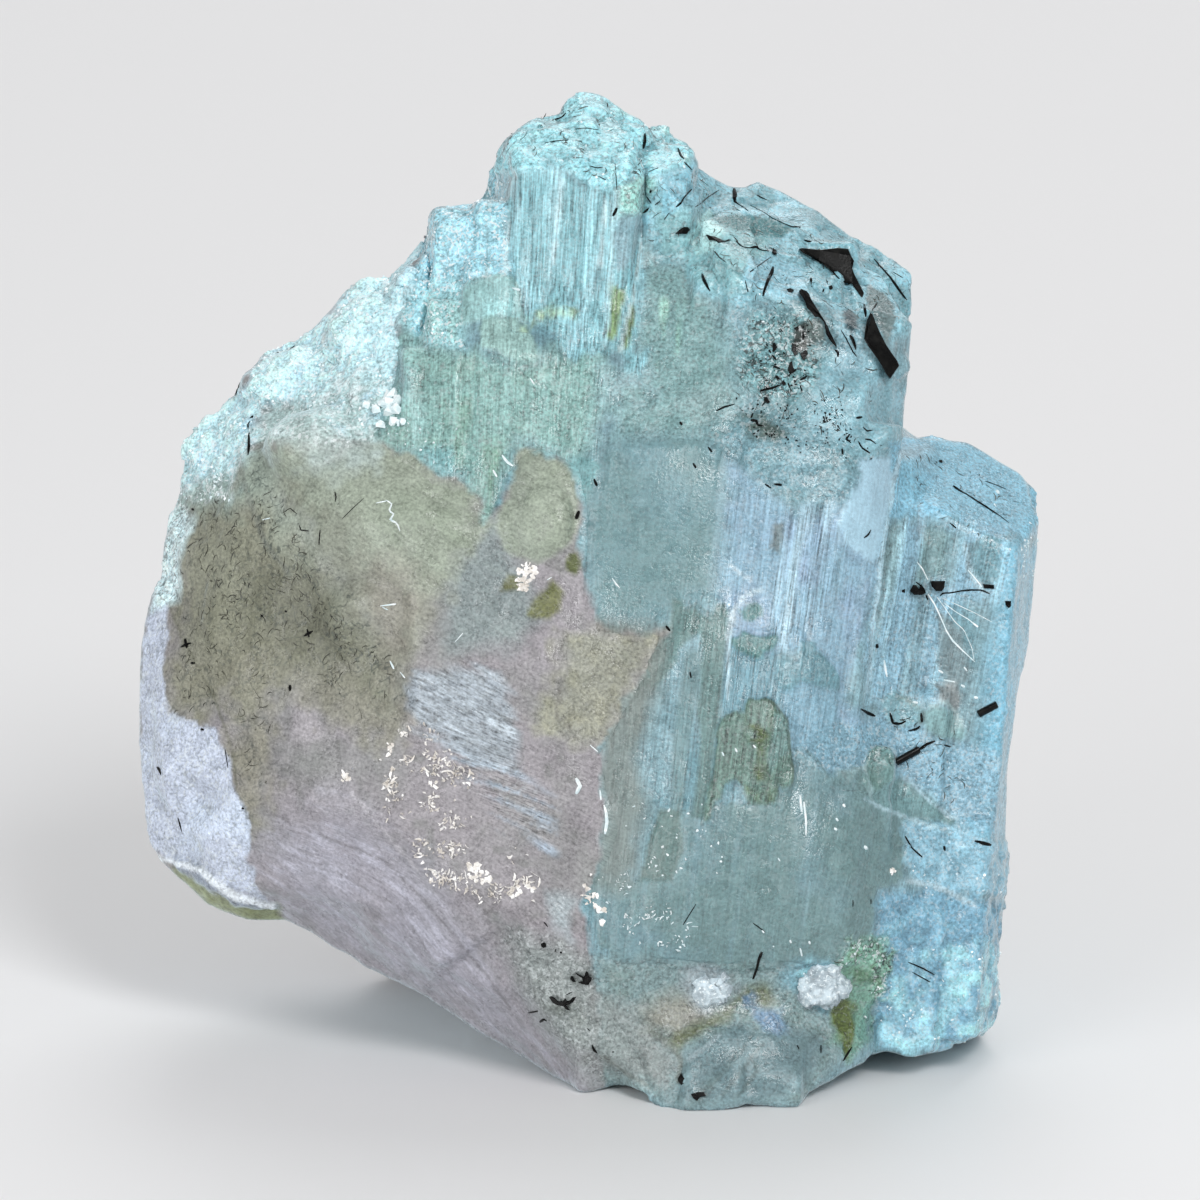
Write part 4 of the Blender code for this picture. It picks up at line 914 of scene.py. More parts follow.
# Shoulder, block, margin and foot colours are raised in part as a painted glow, where light comes through
# thin edges
BERYL_PAINT = (
    (None, ((99, 147, 159), 0.7, "cloud", 0.46, 0.62), ((75, 112, 120), 0.6, "crumb", 0.46, 0.34),
        ((111, 157, 170), 0.5, "ribs", 0.54, 0.68)),
    ("pale_face", ((143, 180, 200), 1.0), ((158, 178, 207), 0.6, "cloud", 0.48, 0.6),
        ((169, 207, 228), 0.6, "ribs", 0.5, 0.64), ((124, 160, 173), 0.5, "ribs", 0.46, 0.36)),
    ("etched", ((114, 153, 161), 1.0), ((137, 178, 191), 0.9, "cloud", 0.46, 0.6),
        ((98, 129, 132), 0.7, "crumb", 0.46, 0.34)),
    ("hazy", ((144, 191, 204), 0.9), ((164, 209, 224), 0.6, "cloud", 0.48, 0.62)),
    ("peppered", ((107, 152, 155), 0.85), ((154, 206, 216), 0.7, "crumb", 0.5, 0.62)),
    ("grey_teal", ((135, 173, 174), 1.0), ((153, 175, 177), 0.6, "cloud", 0.5, 0.62),
        ((120, 159, 159), 0.6, "crumb", 0.47, 0.35)),
    ("pale_bars", ((168, 220, 202), 0.9, "ribs", 0.48, 0.6)),
    ("green", ((142, 184, 179), 1.0), ((156, 182, 166), 0.6, "cloud", 0.48, 0.62),
        ((123, 167, 162), 0.8, "ribs", 0.47, 0.36), ((173, 213, 214), 0.7, "ribs", 0.54, 0.66),
        ((114, 151, 140), 0.5, "crumb", 0.42, 0.32)),
    ("tip", ((140, 193, 206), 1.0), ((163, 218, 234), 0.9, "shards", 0.48, 0.56),
        ((115, 163, 172), 0.6, "shards", 0.4, 0.34), ((119, 168, 178), 0.6, "crumb", 0.44, 0.32)),
    ("tip_left", ((146, 195, 199), 0.8)),
    ("lavender_blade", ((142, 202, 220), 0.8)),
    ("pale_blade", ((209, 255, 255), 0.8)),
    ("white_blade", ((156, 208, 225), 0.8)),
    ("right_blade", ((129, 183, 196), 0.8)),
    ("dark_blade", ((25, 55, 63), 0.95)),
    ("wedge", ((55, 115, 119), 0.9)),
    ("pane_right", ((116, 134, 134), 0.9)),
    ("pane_left", ((95, 110, 107), 0.9)),
    ("stain_high", ((28, 36, 28), 0.95)),
    ("stain_low", ((67, 83, 74), 0.9, "crumb", 0.62, 0.5)),
    ("smooth", ((119, 154, 158), 1.0), ((128, 165, 174), 0.7, "cloud", 0.48, 0.6),
        ((110, 143, 145), 0.5, "crumb", 0.45, 0.34)),
    ("blue_stripe", ((180, 217, 235), 0.95)),
    ("bars", ((188, 223, 239), 0.9, "ribs", 0.47, 0.58), ((126, 163, 176), 0.8, "ribs", 0.43, 0.36)),
    ("rose_line", ((108, 124, 126), 0.9)),
    ("block_top", ((137, 195, 218), 1.0), ((152, 207, 232), 0.6, "cloud", 0.48, 0.6)),
    ("block_face", ((148, 191, 211), 1.0)),
    ("block_grey", ((125, 157, 154), 0.8, "bands", 0.56, 0.44)),
    ("block_face", ((133, 165, 171), 0.5, "bands", 0.46, 0.4),
        ((195, 241, 255), 0.8, "ribs", 0.53, 0.64)),
    ("grey_pane", ((116, 157, 167), 0.9)),
    ("pink_high", ((129, 152, 158), 1.0)),
    ("pink_low", ((148, 158, 160), 1.0)),
    ("margin", ((135, 192, 215), 1.0), ((143, 212, 241), 0.6, "cloud", 0.48, 0.6)),
    ("blue_shelf", ((144, 188, 208), 1.0), ((124, 166, 178), 0.6, "crumb", 0.46, 0.34)),
    ("lower", ((118, 149, 151), 1.0), ((128, 162, 173), 0.7, "cloud", 0.5, 0.62),
        ((107, 136, 133), 0.35, "crumb", 0.46, 0.34), ((133, 168, 180), 0.5, "ribs", 0.54, 0.66)),
    ("stream", ((116, 147, 151), 0.9), ((133, 167, 172), 0.8, "ribs", 0.5, 0.62)),
    ("dark_strip", ((106, 137, 134), 0.9)),
    ("dark_facet", ((110, 137, 134), 0.95)),
    ("veil", ((128, 140, 136), 0.9), ((142, 151, 145), 0.6, "ribs", 0.52, 0.64)),
    ("rib_window", ((108, 151, 165), 0.9), ((135, 178, 192), 0.8, "ribs", 0.52, 0.6)),
    ("pale_steps", ((137, 178, 196), 0.9)),
    ("mid_patch", ((112, 154, 165), 0.95)),
    ("step_patch", ((95, 136, 135), 0.95)),
    ("small_patch", ((87, 135, 134), 0.95)),
    ("castle", ((104, 133, 124), 1.0), ((87, 112, 95), 0.8, "ribs", 0.47, 0.38)),
    ("castle_glass", ((115, 148, 145), 0.9)),
    ("castle_rust", ((83, 97, 50), 0.9, "crumb", 0.6, 0.46)),
    ("rust_foot", ((116, 134, 82), 0.8, "crumb", 0.6, 0.46)),
    ("little_castle", ((108, 143, 141), 0.95), ((93, 126, 112), 0.7, "crumb", 0.48, 0.38)),
    ("moss_left_cap", ((132, 174, 184), 0.9)),
    ("moss_right_cap", ((132, 170, 172), 0.9)),
    ("dark_wedge", ((123, 162, 165), 0.9)),
    ("pale_shelf", ((148, 196, 216), 1.0), ((177, 233, 254), 0.5, "crumb", 0.5, 0.66)),
    ("crumbled_foot", ((131, 181, 206), 1.0), ((161, 225, 243), 0.6, "crumb", 0.5, 0.66),
        ((102, 149, 169), 0.6, "crumb", 0.46, 0.34)),
    ("foot_white", ((183, 244, 255), 0.8, "crumb", 0.42, 0.54)),
    ("foot_slope", ((137, 163, 165), 1.0), ((123, 145, 140), 0.6, "crumb", 0.48, 0.38)),
    ("base_ribs", ((118, 145, 151), 1.0), ((148, 179, 185), 0.7, "slope", 0.52, 0.62),
        ((97, 120, 120), 0.7, "slope", 0.44, 0.36)),
    ("apron", ((137, 148, 147), 0.95), ((157, 168, 167), 0.6, "cloud", 0.5, 0.6)),
    ("pink_apron", ((140, 141, 130), 0.95), ((158, 159, 152), 0.6, "crumb", 0.5, 0.6)),
    ("tan_patch", ((109, 117, 87), 0.9)),
    ("white_left", ((160, 174, 180), 0.9)),
    ("white_right", ((130, 176, 190), 0.9), ((168, 224, 234), 0.9, "sugar", 0.52, 0.6)),
    ("violet", ((109, 144, 176), 0.9)),
    ("green_crust", ((129, 175, 157), 1.0), ((96, 133, 99), 0.8, "crumb", 0.48, 0.38),
        ((198, 252, 250), 0.8, "sugar", 0.58, 0.66)),
    ("rust", ((96, 107, 36), 0.9)),
    ("striated", ((140, 192, 201), 1.0), ((184, 232, 242), 0.9, "ribs", 0.52, 0.62),
        ((118, 166, 172), 0.8, "ribs", 0.45, 0.36), ((163, 215, 229), 0.5, "bands", 0.5, 0.62)),
    ("shoulder", ((171, 227, 243), 1.0), ((149, 203, 214), 0.7, "crumb", 0.48, 0.36),
        ((227, 249, 250), 0.9, "sugar", 0.57, 0.66)),
    ("shoulder_low", ((173, 220, 216), 0.8, "ribs", 0.36, 0.56)),
    ("tower", ((157, 200, 200), 0.95)),
    ("low_dome", ((159, 196, 191), 0.95)),
    ("yellow_arc", ((191, 218, 162), 0.8, "crumb", 0.4, 0.6)),
    ("window", ((173, 223, 225), 0.9)),
    ("lilac_patch", ((137, 171, 178), 0.8, "crumb", 0.42, 0.56)),
    ("blue_tip", ((131, 185, 191), 0.7)),
    ("olive_streaks", ((116, 156, 134), 0.8, "ribs", 0.44, 0.56)),
    ("teal_wedge", ((123, 171, 174), 0.9)),
    ("yellow_left", ((114, 142, 78), 0.9)),
    ("yellow_right", ((101, 121, 61), 0.9)),
    ("crest", ((158, 214, 206), 0.95)),
    ("cap", ((168, 230, 240), 1.0), ((139, 199, 211), 0.8, "crumb", 0.46, 0.34),
        ((198, 249, 255), 0.7, "crumb", 0.53, 0.66)))

# Strength of fine ribs, crumbs, white sugar with painted glints, and dark pepper in each region
BERYL_GRAIN = {
    None: (0.3, 0.35, 0.0, 0.0), "pale_face": (0.28, 0.3, 0.1, 0.05), "etched": (0.0, 0.5, 0.25, 0.25),
    "hazy": (0.0, 0.35, 0.15, 0.1), "peppered": (0.0, 0.8, 0.5, 0.9), "grey_teal": (0.1, 0.5, 0.1, 0.05),
    "green": (0.3, 0.5, 0.15, 0.1), "tip": (0.1, 0.35, 0.2, 0.45), "smooth": (0.1, 0.25, 0.05, 0.0),
    "blue_stripe": (0.1, 0.15, 0.0, 0.0), "bars": (0.55, 0.3, 0.05, 0.0),
    "block_top": (0.1, 0.5, 0.1, 0.2), "block_face": (0.35, 0.45, 0.2, 0.1),
    "block_grey": (0.4, 0.4, 0.05, 0.2), "margin": (0.1, 0.35, 0.25, 0.1),
    "lower": (0.15, 0.25, 0.06, 0.03), "stream": (0.3, 0.25, 0.05, 0.0), "veil": (0.25, 0.25, 0.03, 0.0),
    "rib_window": (0.6, 0.2, 0.0, 0.0), "castle": (0.5, 0.5, 0.1, 0.2),
    "blue_shelf": (0.1, 0.5, 0.3, 0.2), "pale_shelf": (0.0, 0.4, 0.3, 0.1),
    "crumbled_foot": (0.0, 0.4, 0.25, 0.15), "green_crust": (0.0, 0.9, 0.8, 0.8),
    "striated": (0.6, 0.3, 0.1, 0.0), "shoulder": (0.1, 0.6, 0.8, 0.15), "cap": (0.0, 0.5, 0.3, 0.45),
    "crest": (0.0, 0.6, 0.3, 0.6), "foot_slope": (0.0, 0.5, 0.15, 0.2), "base_ribs": (0.0, 0.4, 0.0, 0.1)}
BERYL_LINES = (
    ("467,322 468,300 474,286 486,277 502,276 514,284 521,298 523,320", 0.14, (122, 158, 156), 0.6),
    ("481,330 486,320 500,317 516,321 528,330 535,345 535,360", 0.14, (124, 158, 152), 0.6),
    ("531,330 536,314 550,306 566,307 576,312", 0.14, (134, 162, 140), 0.6),
    ("722,718 738,712 746,705 757,701 772,703 787,722 790,760 790,785", 0.12, (92, 112, 100), 0.7),
    ("683,640 686,612 695,604 712,617 724,604", 0.12, (100, 128, 126), 0.6),
    ("792,753 800,747 812,757 826,774 845,771 862,767", 0.12, (104, 132, 130), 0.6),
    ("642,650 655,690 676,662 684,640", 0.12, (108, 136, 134), 0.5),
    ("640,245 632,300 620,352", 0.2, (188, 214, 216), 0.8),
    ("618,190 612,235 610,300 604,350", 0.2, (178, 216, 222), 0.6),
    ("606,200 600,265", 0.2, (214, 244, 250), 0.7),
    ("562,180 553,262", 0.2, (214, 244, 250), 0.7),
    ("510,225 505,272", 0.25, (214, 244, 250), 0.7),
    ("490,186 487,275 466,290", 0.25, (130, 168, 174), 0.5),
    ("898,455 890,490 880,555 872,620 866,690", 0.25, (188, 222, 236), 0.8),
    ("892,520 884,560 876,620", 0.3, (118, 146, 150), 0.6),
    ("729,640 728,700", 0.2, (190, 216, 226), 0.8),
    ("760,590 745,597 733,612 728,640", 0.25, (206, 228, 236), 0.8),
    ("730,565 742,575 752,580", 0.2, (206, 226, 236), 0.7),
    ("724,455 716,540 712,592", 0.3, (158, 190, 200), 0.5),
    ("965,545 970,572 984,592", 0.25, (190, 220, 230), 0.8),
    ("892,700 905,698 922,712 922,722", 0.2, (104, 130, 122), 0.6),
    ("930,706 944,702 956,712 962,726", 0.2, (186, 214, 216), 0.7),
    ("656,880 668,840 680,812 684,770", 0.2, (112, 132, 128), 0.5),
    ("650,1030 672,1046 682,1062 680,1082", 0.25, (108, 116, 106), 0.6),
    ("604,1056 630,1076 650,1086", 0.2, (112, 118, 112), 0.6),
    ("722,1096 762,1045", 0.25, (100, 120, 122), 0.7),
    ("700,1102 740,1052 752,1036", 0.2, (104, 124, 126), 0.7),
    ("735,1098 757,1072 755,1064", 0.25, (96, 114, 114), 0.7),
    ("690,1060 720,1036", 0.25, (162, 182, 188), 0.7),
    ("905,778 930,802 956,820", 0.2, (178, 208, 220), 0.8),
    ("862,800 905,818 948,832", 0.2, (184, 216, 226), 0.8),
    ("838,772 862,768 870,800", 0.2, (160, 190, 194), 0.6),
    ("905,880 938,888 975,905", 0.25, (206, 232, 242), 0.7))
SOFT_EDGED = ("etched", "grey_teal", "smooth", "margin", "veil", "apron", "tip", "cap", "shoulder",
              "foot_slope", "pink_apron", "tan_patch", "white_left", "white_right", "base_ribs")


def fibres(points):
    """The points across and along the long axis of the crystals, which fans out to the right."""
    pixels = as_seen(points)
    rise = FAN_LEVEL - pixels[:, 1]
    across = (pixels[:, 0] + rise * FAN_LEAN) / (1 + rise * FAN_SPREAD)
    return np.stack((across * PIXEL, points[:, 1], points[:, 2]), 1)


def beryl_look(points):
    """How far each point is into each region of the beryl, and its colour and grain there."""
    pixels, facing, fibre = as_seen(points), facing_of(points), fibres(points)
    steps = chance(np.floor(fibre / (STEP_WIDTH, STEP_HEIGHT, 1e3)), 21) - 0.5
    ragged = rough(points, 1.1, 5, 3) * 0.15
    region = {}
    for name, outline in BERYL_REGIONS.items():
        depth = inside(pixels, outline) + ragged * (0.4 if name in EXACT else 1.0)
        depth += 0.0 if name in SOFT_EDGED + EXACT else steps * 0.4
        region[name] = kept_in_front(depth, facing)
    slope = points @ np.array(((0.72, 0.69, 0), (-0.69, 0.72, 0), (0, 0, 1)))
    patterns = dict(
        cloud=mottle(points, 3.5, 44, 4), crumb=mottle(points, 0.9, 45, 2),
        sugar=mottle(points, 0.6, 46, 1), ribs=mottle(fibre, (0.6, 9, 2), 47, 2),
        bands=0.5 + 0.15 * drift(fibre, (1.5, 18, 4), 48), slope=mottle(slope, (0.7, 6, 2), 49, 2),
        shards=0.5 + 0.2 * chips(points, 2.6, 50))
    colours = np.tile(np.array(hue(*BERYL_BLUE)[:3]), (len(points), 1))
    paint(colours, BERYL_PAINT, region, patterns, BERYL_EDGES)
    draw_lines(colours, points, facing, BERYL_LINES)
    return region, colours, grain_of(BERYL_GRAIN, region, len(points))


BERYL_PLUGS = ("schorl_mass", *(f"schorl_prism_{i}" for i in range(1, 11)),
               "albite_lump_1", "albite_lump_2")
beryl = grown_whole("aquamarine_crystals", "aquamarine", BERYL_PLUGS)
relax(beryl.data, 2)
meet = near_seam(beryl.data, "quartz_matrix")
even_out(beryl.data, slope, depth_seen(OWN_BLUR, "aquamarine"), meet)
relax(beryl.data, 3)
points = points_of(beryl.data)
normals = outward(beryl.data)
fibre = fibres(points)
region, colours, grain = beryl_look(points)


def zone(*names, low=-0.2, high=0.6):
    """How far each point is into any of the regions, from 0 to 1."""
    return smooth_step(np.max([region[n] for n in names], 0), low, high)


ribbed = zone("striated", "bars", "block_face", "stream", "pale_bars")
ribbed = np.maximum(ribbed, 0.5 * zone("green", "pale_face", "lower", "castle", "dark_strip"))
ribbed = np.maximum(ribbed, 0.7 * (1 - facing_of(points)))
calm = zone("smooth", "blue_stripe", "block_top", "tip", "pale_face")
height = 0.15 + rough(fibre, (0.7, 12.0, 2.0), 22, 2) * ribbed * 0.11 + meet * 0.1
height += (1 - 0.7 * calm) * (rough(points, 2.4, 24) * 0.09 + rough(points, 0.6, 25, 1) * 0.03)
height += zone("cap") * (chips(points, 1.3, 26) * 0.2 + chips(points, 2.6, 34) * 0.25
                         + rough(points, 0.8, 27, 2) * 0.08)
height += zone("shoulder") * chips(points, 0.9, 28) * 0.14
height += zone("tip") * chips(points, 3.5, 29) * 0.4
height += zone("peppered", "green_crust") * (chips(points, 0.8, 30) * 0.13
                                             + rough(points, 1.4, 31) * 0.08)
height += zone("etched") * rough(points, 1.6, 33, 4) * 0.08
height += zone("crumbled_foot", "pale_shelf") * chips(points, 1.2, 32) * 0.22
for name, lift in (("lower", 0.15), ("castle", 0.2), ("little_castle", 0.2), ("moss_left_cap", 0.15),
                   ("moss_right_cap", 0.15), ("tower", 0.12), ("low_dome", 0.12), ("cap", 0.2),
                   ("blue_stripe", 0.1), ("pale_shelf", 0.15), ("mid_patch", 0.1),
                   ("step_patch", 0.1), ("dark_facet", -0.12), ("dark_wedge", -0.15), ("crest", 0.2)):
    height += zone(name, low=-0.12, high=0.14) * lift
move_points(beryl.data, resting(points + normals * height[:, None]))

# Up to the line where the eye sees the two meet, each skin takes the other's look
beside = past_seam(points, -0.2, 0.2)
near = np.flatnonzero(beside > 0)
_, other_colours, other_grain = quartz_look(points[near])
colours[near] += (other_colours - colours[near]) * beside[near, None]
grain[near] += (other_grain - grain[near]) * beside[near, None]
# Painted light and shade on the beryl: lighter ridges and thin edges, darker nooks
paint_edge_light_and_shade(beryl.data, colours, points, 0.6, meet)
keep_colour(beryl.data, "tint", np.clip(colours, 0, 1))
keep_colour(beryl.data, "grain", grain)
keep_ways(beryl.data, "fibre", fibre)
thin_out(beryl, points, normals, meet)

points = points_of(quartz_shell)
beside = past_seam(points, 0.2, -0.2)
near = np.flatnonzero(beside > 0)
_, *looks = beryl_look(points[near])
for name, look in zip(("tint", "grain"), looks):
    kept = np.empty(len(points) * 4, np.float32)
    quartz.data.attributes[name].data.foreach_get("color", kept)
    kept = kept.reshape(-1, 4)
    wide = look.shape[1]
    kept[near, :wide] += (look - kept[near, :wide]) * beside[near, None]
    quartz.data.attributes[name].data.foreach_set("color", kept.ravel())

material, tree = crystal_look("pale_blue_beryl", "fibre", (0.14, 4.0, 0.6), (0.12, 0.4),
                              BERYL_IOR, 0.2)
depths = add(tree, "VolumeAbsorption", Color=DEEP_BLUE, Density=DEEP_DENSITY)
tree.links.new(depths.outputs[0], tree.nodes["Material Output"].inputs["Volume"])
coat(beryl.data, material)
beryl_shell = beryl.data.copy()
stand_up(beryl.data)
beryl.data.shade_smooth()
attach(beryl, "root")
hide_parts("aquamarine")

# Schorl
# Black tourmaline that grew in and across the beryl, and a little in the quartz: brittle glassy
# prisms, three-sided with rounded grooved flanks, down to needles and specks finer than a hair.
EYE = Vector((0.0, AIM_HEIGHT, RIM_DEPTH + VIEW_DISTANCE))
SCHORL_IOR = 1.65
LUMPS = dict(
    schorl_mass="""799,249 802,248 820,250 838,248 848,249 851,256 854,261 852,269 855,276 861,287 864,293
        862,300 858,293 852,284 845,283 838,279 834,274 829,269 824,265 818,261 811,257 803,253""",
    schorl_prism_1="""870,313 872,314 875,322 880,333 886,345 892,354 897,361 899,366 896,370 890,379
        886,374 882,366 876,357 868,346 864,339 865,330 867,320""",
    schorl_prism_2="""799,291 801,289 806,291 809,294 811,299 814,304 818,310 821,315 826,323 824,322
        819,317 815,317 811,312 807,308 805,302 803,298 800,294""",
    schorl_prism_3="824,321 827,325 830,332 833,338 836,344 837,348 833,344 829,339 826,334 825,328",
    schorl_prism_4="675,234 679,230 684,227 688,227 690,230 687,234 681,234",
    schorl_prism_5="706,235 710,236 715,237 720,239 725,242 719,243 714,240 709,240",
    schorl_prism_6="930,581 945,581 944,588 942,591 936,591 932,587",
    schorl_prism_7="910,591 913,585 916,585 919,589 921,584 924,588 926,593 922,595 914,595",
    schorl_prism_11="""575,972 580,975 584,977 586,971 588,972 589,976 592,978 591,981 588,985 582,984
        578,982 583,981 582,978 577,975""",
    schorl_prism_12="""549,997 552,996 555,998 558,1001 563,1001 565,998 567,1001 570,1000 573,997 576,997
        574,1001 570,1004 566,1005 570,1010 567,1010 563,1006 557,1005 553,1003 551,1000""")
LOOSE_LUMPS = (
    "681,1073 683,1077 687,1080 684,1084 681,1085 678,1081 678,1078",
    "691,1094 698,1092 704,1092 706,1096 700,1097 697,1101 693,1098",
    "804,351 807,350 808,354 806,357 804,361 802,358 800,354",
    "792,343 796,345 796,350 798,354 795,356 792,351",
    "790,362 792,361 793,367 796,371 793,373 789,373 788,368", "794,328 798,326 799,329 797,331",
    "783,380 786,383 784,386 781,383", "764,397 767,397 770,402 768,404 764,401",
    "787,289 790,288 794,290 792,293 788,292", "1005,601 1011,601 1011,606 1009,608 1006,606",
    "983,584 994,585 994,589 984,588", "902,590 905,589 905,593 902,592",
    "541,944 544,942 546,944 546,947 543,948 541,946", "571,976 573,976 574,979 576,982 573,982 570,979",
    "773,248 776,251 777,254 774,255 772,252", "829,286 832,285 833,288 831,290 829,289")
RODS = dict(schorl_prism_9=((978, 714), (997, 704), 7), schorl_prism_10=((896, 762), (919, 749), 7))
CHAIN = "940,596,1.5 943,593,2 950,593,1.5 960,591,1.5 970,590,1.8 981,590,1.5 986,592,2 990,594,1"
# Across, down and thickness of each point in turn, in pixels
NEEDLES = (
    "645,133,2 645,142,3.5 643,149,2", "678,148,2 681,156,3 684,159,2", "684,162,2 688,166,2 692,170,1.5",
    "607,103,1.5 608,107,1.5", "734,189,4 735,196,5 734,201,3.5 738,204,1.5 743,207,1.5 748,211,2",
    "692,189,1.5 686,195,2 683,199,1.5 681,203,2.5 676,207,2",
    "719,190,1 708,197,1.2 700,204,1.2 695,207,1", "669,213,1 664,220,1",
    "643,213,2 647,210,3 649,208,1.5", "651,190,2.5 650,193,2", "757,195,2 760,197,2 767,200,1",
    "613,216,3 617,208,3", "750,205,0.8 765,213,1.2 772,218,1.5 785,224,1.2 792,227,2 800,227,2.5",
    "724,242,1.5 728,240,2 731,240,1.5",
    "736,241,2 740,245,2 743,247,1.2 750,248,1.5 754,247,3 757,247,3.5 760,250,1.5 769,251,1.5",
    "713,250,1.5 716,253,2 719,257,1.2 727,263,1", "771,257,1 758,266,1.2 750,272,1.5",
    "773,267,3.5 772,272,4.5 768,280,4 765,288,3 763,296,3", "702,274,3 704,280,4 707,286,3 710,291,1.5",
    "745,280,1 748,292,1.2", "804,240,2 809,242,3 812,241,1", "811,278,2.5 811,282,3",
    "824,289,2.5 823,292,2", "828,285,1 826,279,1",
    "874,259,1.8 880,266,2 890,277,2.2 895,284,3 902,294,2.2 907,300,1.5", "893,272,1 903,278,1.2",
    "864,304,2 865,310,3.5 866,317,2", "877,303,2 871,312,1.5", "835,350,2 838,352,3 838,357,2",
    "850,335,3 853,340,3.5 855,346,2.5 856,350,1", "841,330,1 847,340,1.2 853,352,1.5 857,357,1",
    "803,331,1.5 803,340,2.5", "774,343,3 775,348,4.5 773,352,2", "772,355,1.5 774,357,2.5 776,360,2",
    "760,361,2.5 762,361,2.5", "773,366,2.5 776,367,2.5 780,369,2", "776,376,3 779,379,3.5",
    "760,391,3 763,390,2.5 767,389,3 772,388,2.5 777,386,2 780,385,1.5",
    "800,380,2 804,378,3 807,376,1.5", "800,385,1.5 802,391,2", "788,383,2 790,388,1.5",
    "753,413,2 751,418,2", "765,402,2 762,406,1", "751,420,4 757,421,3 757,425,2.5 764,426,1.5",
    "769,350,2 771,353,2", "856,418,2.5 862,417,3", "850,434,1.5 846,439,3 849,441,2 851,443,1.5",
    "858,441,1.5 862,448,2 870,453,2", "865,439,2 871,440,2 876,444,1", "863,427,1 867,431,2 873,430,1",
    "842,449,3 843,455,1.5", "716,411,1.5 724,407,2.5 735,404,1", "680,422,3 682,425,3",
    "708,447,2 712,452,3", "693,463,2 696,468,3", "594,479,2.5 597,486,3.5", "579,511,3.5 576,519,4",
    "690,672,2 691,678,2", "666,626,3 670,631,2.5", "765,484,2 771,488,2", "774,484,2 782,485,3.5",
    "939,461,4.5 942,462,4.5", "953,486,4 960,491,2.5 966,494,2 986,507,2.6 1000,516,1.5 1009,523,1",
    "985,481,1.5 996,485,1.2 1006,489,1", "950,523,1.5 956,528,2", "864,538,1.5 868,535,2.2 871,530,1.2",
    "877,644,3 877,648,4", "926,595,2.5 928,600,1.5", "916,582,1.5 920,585,1.5 923,590,1.5",
    "861,709,2 868,713,3.5 875,716,2.5", "890,713,2 893,723,3.5", "893,723,3.5 900,724,2.5 906,721,2",
    "921,713,2.5 922,722,3", "920,726,2 917,729,3 908,731,1.5", "920,749,4 927,744,3 935,741,2",
    "944,745,1.8 951,747,1.5", "762,952,3.5 759,959,3 757,968,2.5 753,979,2.5",
    "975,841,2 983,843,4 991,845,3", "905,836,2 912,848,1.5 922,857,2", "944,846,3.5 945,851,2",
    "908,962,1 922,968,2 935,975,1", "912,972,1 930,982,1.5", "853,900,1.5 853,907,1",
    "871,899,1 871,904,1.5", "821,1045,1.5 821,1053,1.5", "797,1045,1 799,1049,1.5",
    "843,1061,2 848,1053,2.5 852,1047,1", "696,904,1 683,925,1.2", "753,923,1.2 765,932,1",
    "249,433,2 249,445,3.5 248,455,1.5", "253,416,3 250,419,2", "250,421,1.2 248,424,2 248,429,1.5",
    "240,383,2 238,388,1.5 235,395,2.5", "274,342,0.8 282,341,1.2 290,339,0.8",
    "304,636,2 309,633,3.5 313,631,1.5", "307,629,1.5 309,637,2.5", "181,647,2 187,644,3.5 191,643,1.5",
    "185,639,3 187,648,3.5", "290,685,4 290,691,3", "157,767,2 160,770,4 161,775,1.5",
    "178,818,1.5 181,828,2.2 182,832,1", "201,729,3 204,730,2", "191,663,3 195,663,2",
    "192,509,3 194,510,2", "242,808,3 244,809,2", "261,616,3 263,616,3", "285,611,2.5 287,612,2",
    "225,749,1.2 228,768,1", "299,525,1 301,530,1.5 309,531,1.2", "320,530,1.2 319,545,1.5",
    "342,519,0.7 352,509,1 364,498,0.7", "335,492,1.2 336,497,1.5 335,502,1",
    "283,513,0.8 290,508,1 297,514,1", "544,922,1.5 548,927,1.2", "556,949,1.5 555,952,1",
    "560,952,2.5 562,953,2", "528,1013,1.5 533,1012,2 538,1011,2", "540,1022,3 544,1019,2.5 547,1021,1.5",
    "587,1028,1 590,1031,1", "592,1045,2 594,1050,3 597,1053,1.5", "612,1052,1.5 614,1052,1.5",
    "572,992,1 566,995,1", "615,163,0.8 617,190,1", "545,143,1.2 556,141,1.5 568,140,1",
    "553,120,2.5 561,118,2 566,113,1.5", "590,166,1.2 597,168,1.5 603,167,1", "648,172,1 658,168,1.5",
    "575,129,1 586,128,1 599,130,1", "598,176,1 606,180,1.2", "646,196,1.2 651,203,1.5",
    "655,205,1.5 660,201,1", "638,165,1.5 642,160,1")

skins = [search_tree(quartz_shell), search_tree(beryl_shell)]


def on_skin(across, down):
    """Where the camera's line of sight through a pixel meets the specimen."""
    aim = Vector(((across - MIDDLE_PIXEL) * PIXEL, (GROUND_PIXEL - down) * PIXEL, RIM_DEPTH))
    hits = [tree.ray_cast(EYE, aim - EYE) for tree in skins]
    hits = [hit for hit in hits if hit[0] is not None]
    if not hits:
        hits = [tree.find_nearest(aim) for tree in skins]
    return min(hits, key=lambda hit: hit[3])[0]


def lump(solid, outline, lift=0.18, sunk=0.8, bevel=0.06):
    """A broken crystal with the outline that is seen, half sunk, its upper edge worn."""
    corners = plotted(outline)
    rim = [on_skin(*corner) for corner in corners]
    level = sum(p.z for p in rim) / len(rim)
    low = [solid.verts.new((p.x, p.y, min(p.z, level) - sunk)) for p in rim]
    bulge = max(on_skin(*np.mean(corners, 0)).z - level, 0.0)
    high = [solid.verts.new((p.x, p.y, 0.6 * p.z + 0.4 * level + lift + bulge)) for p in rim]
    for i in range(len(rim)):
        j = (i + 1) % len(rim)
        solid.faces.new((low[i], low[j], high[j], high[i]))
    solid.faces.new(low[::-1])
    top = solid.faces.new(high)
    top.normal_update()
    if top.normal.z < 0:
        top.normal_flip()
    bmesh.ops.inset_region(solid, faces=[top], thickness=bevel, depth=bevel)


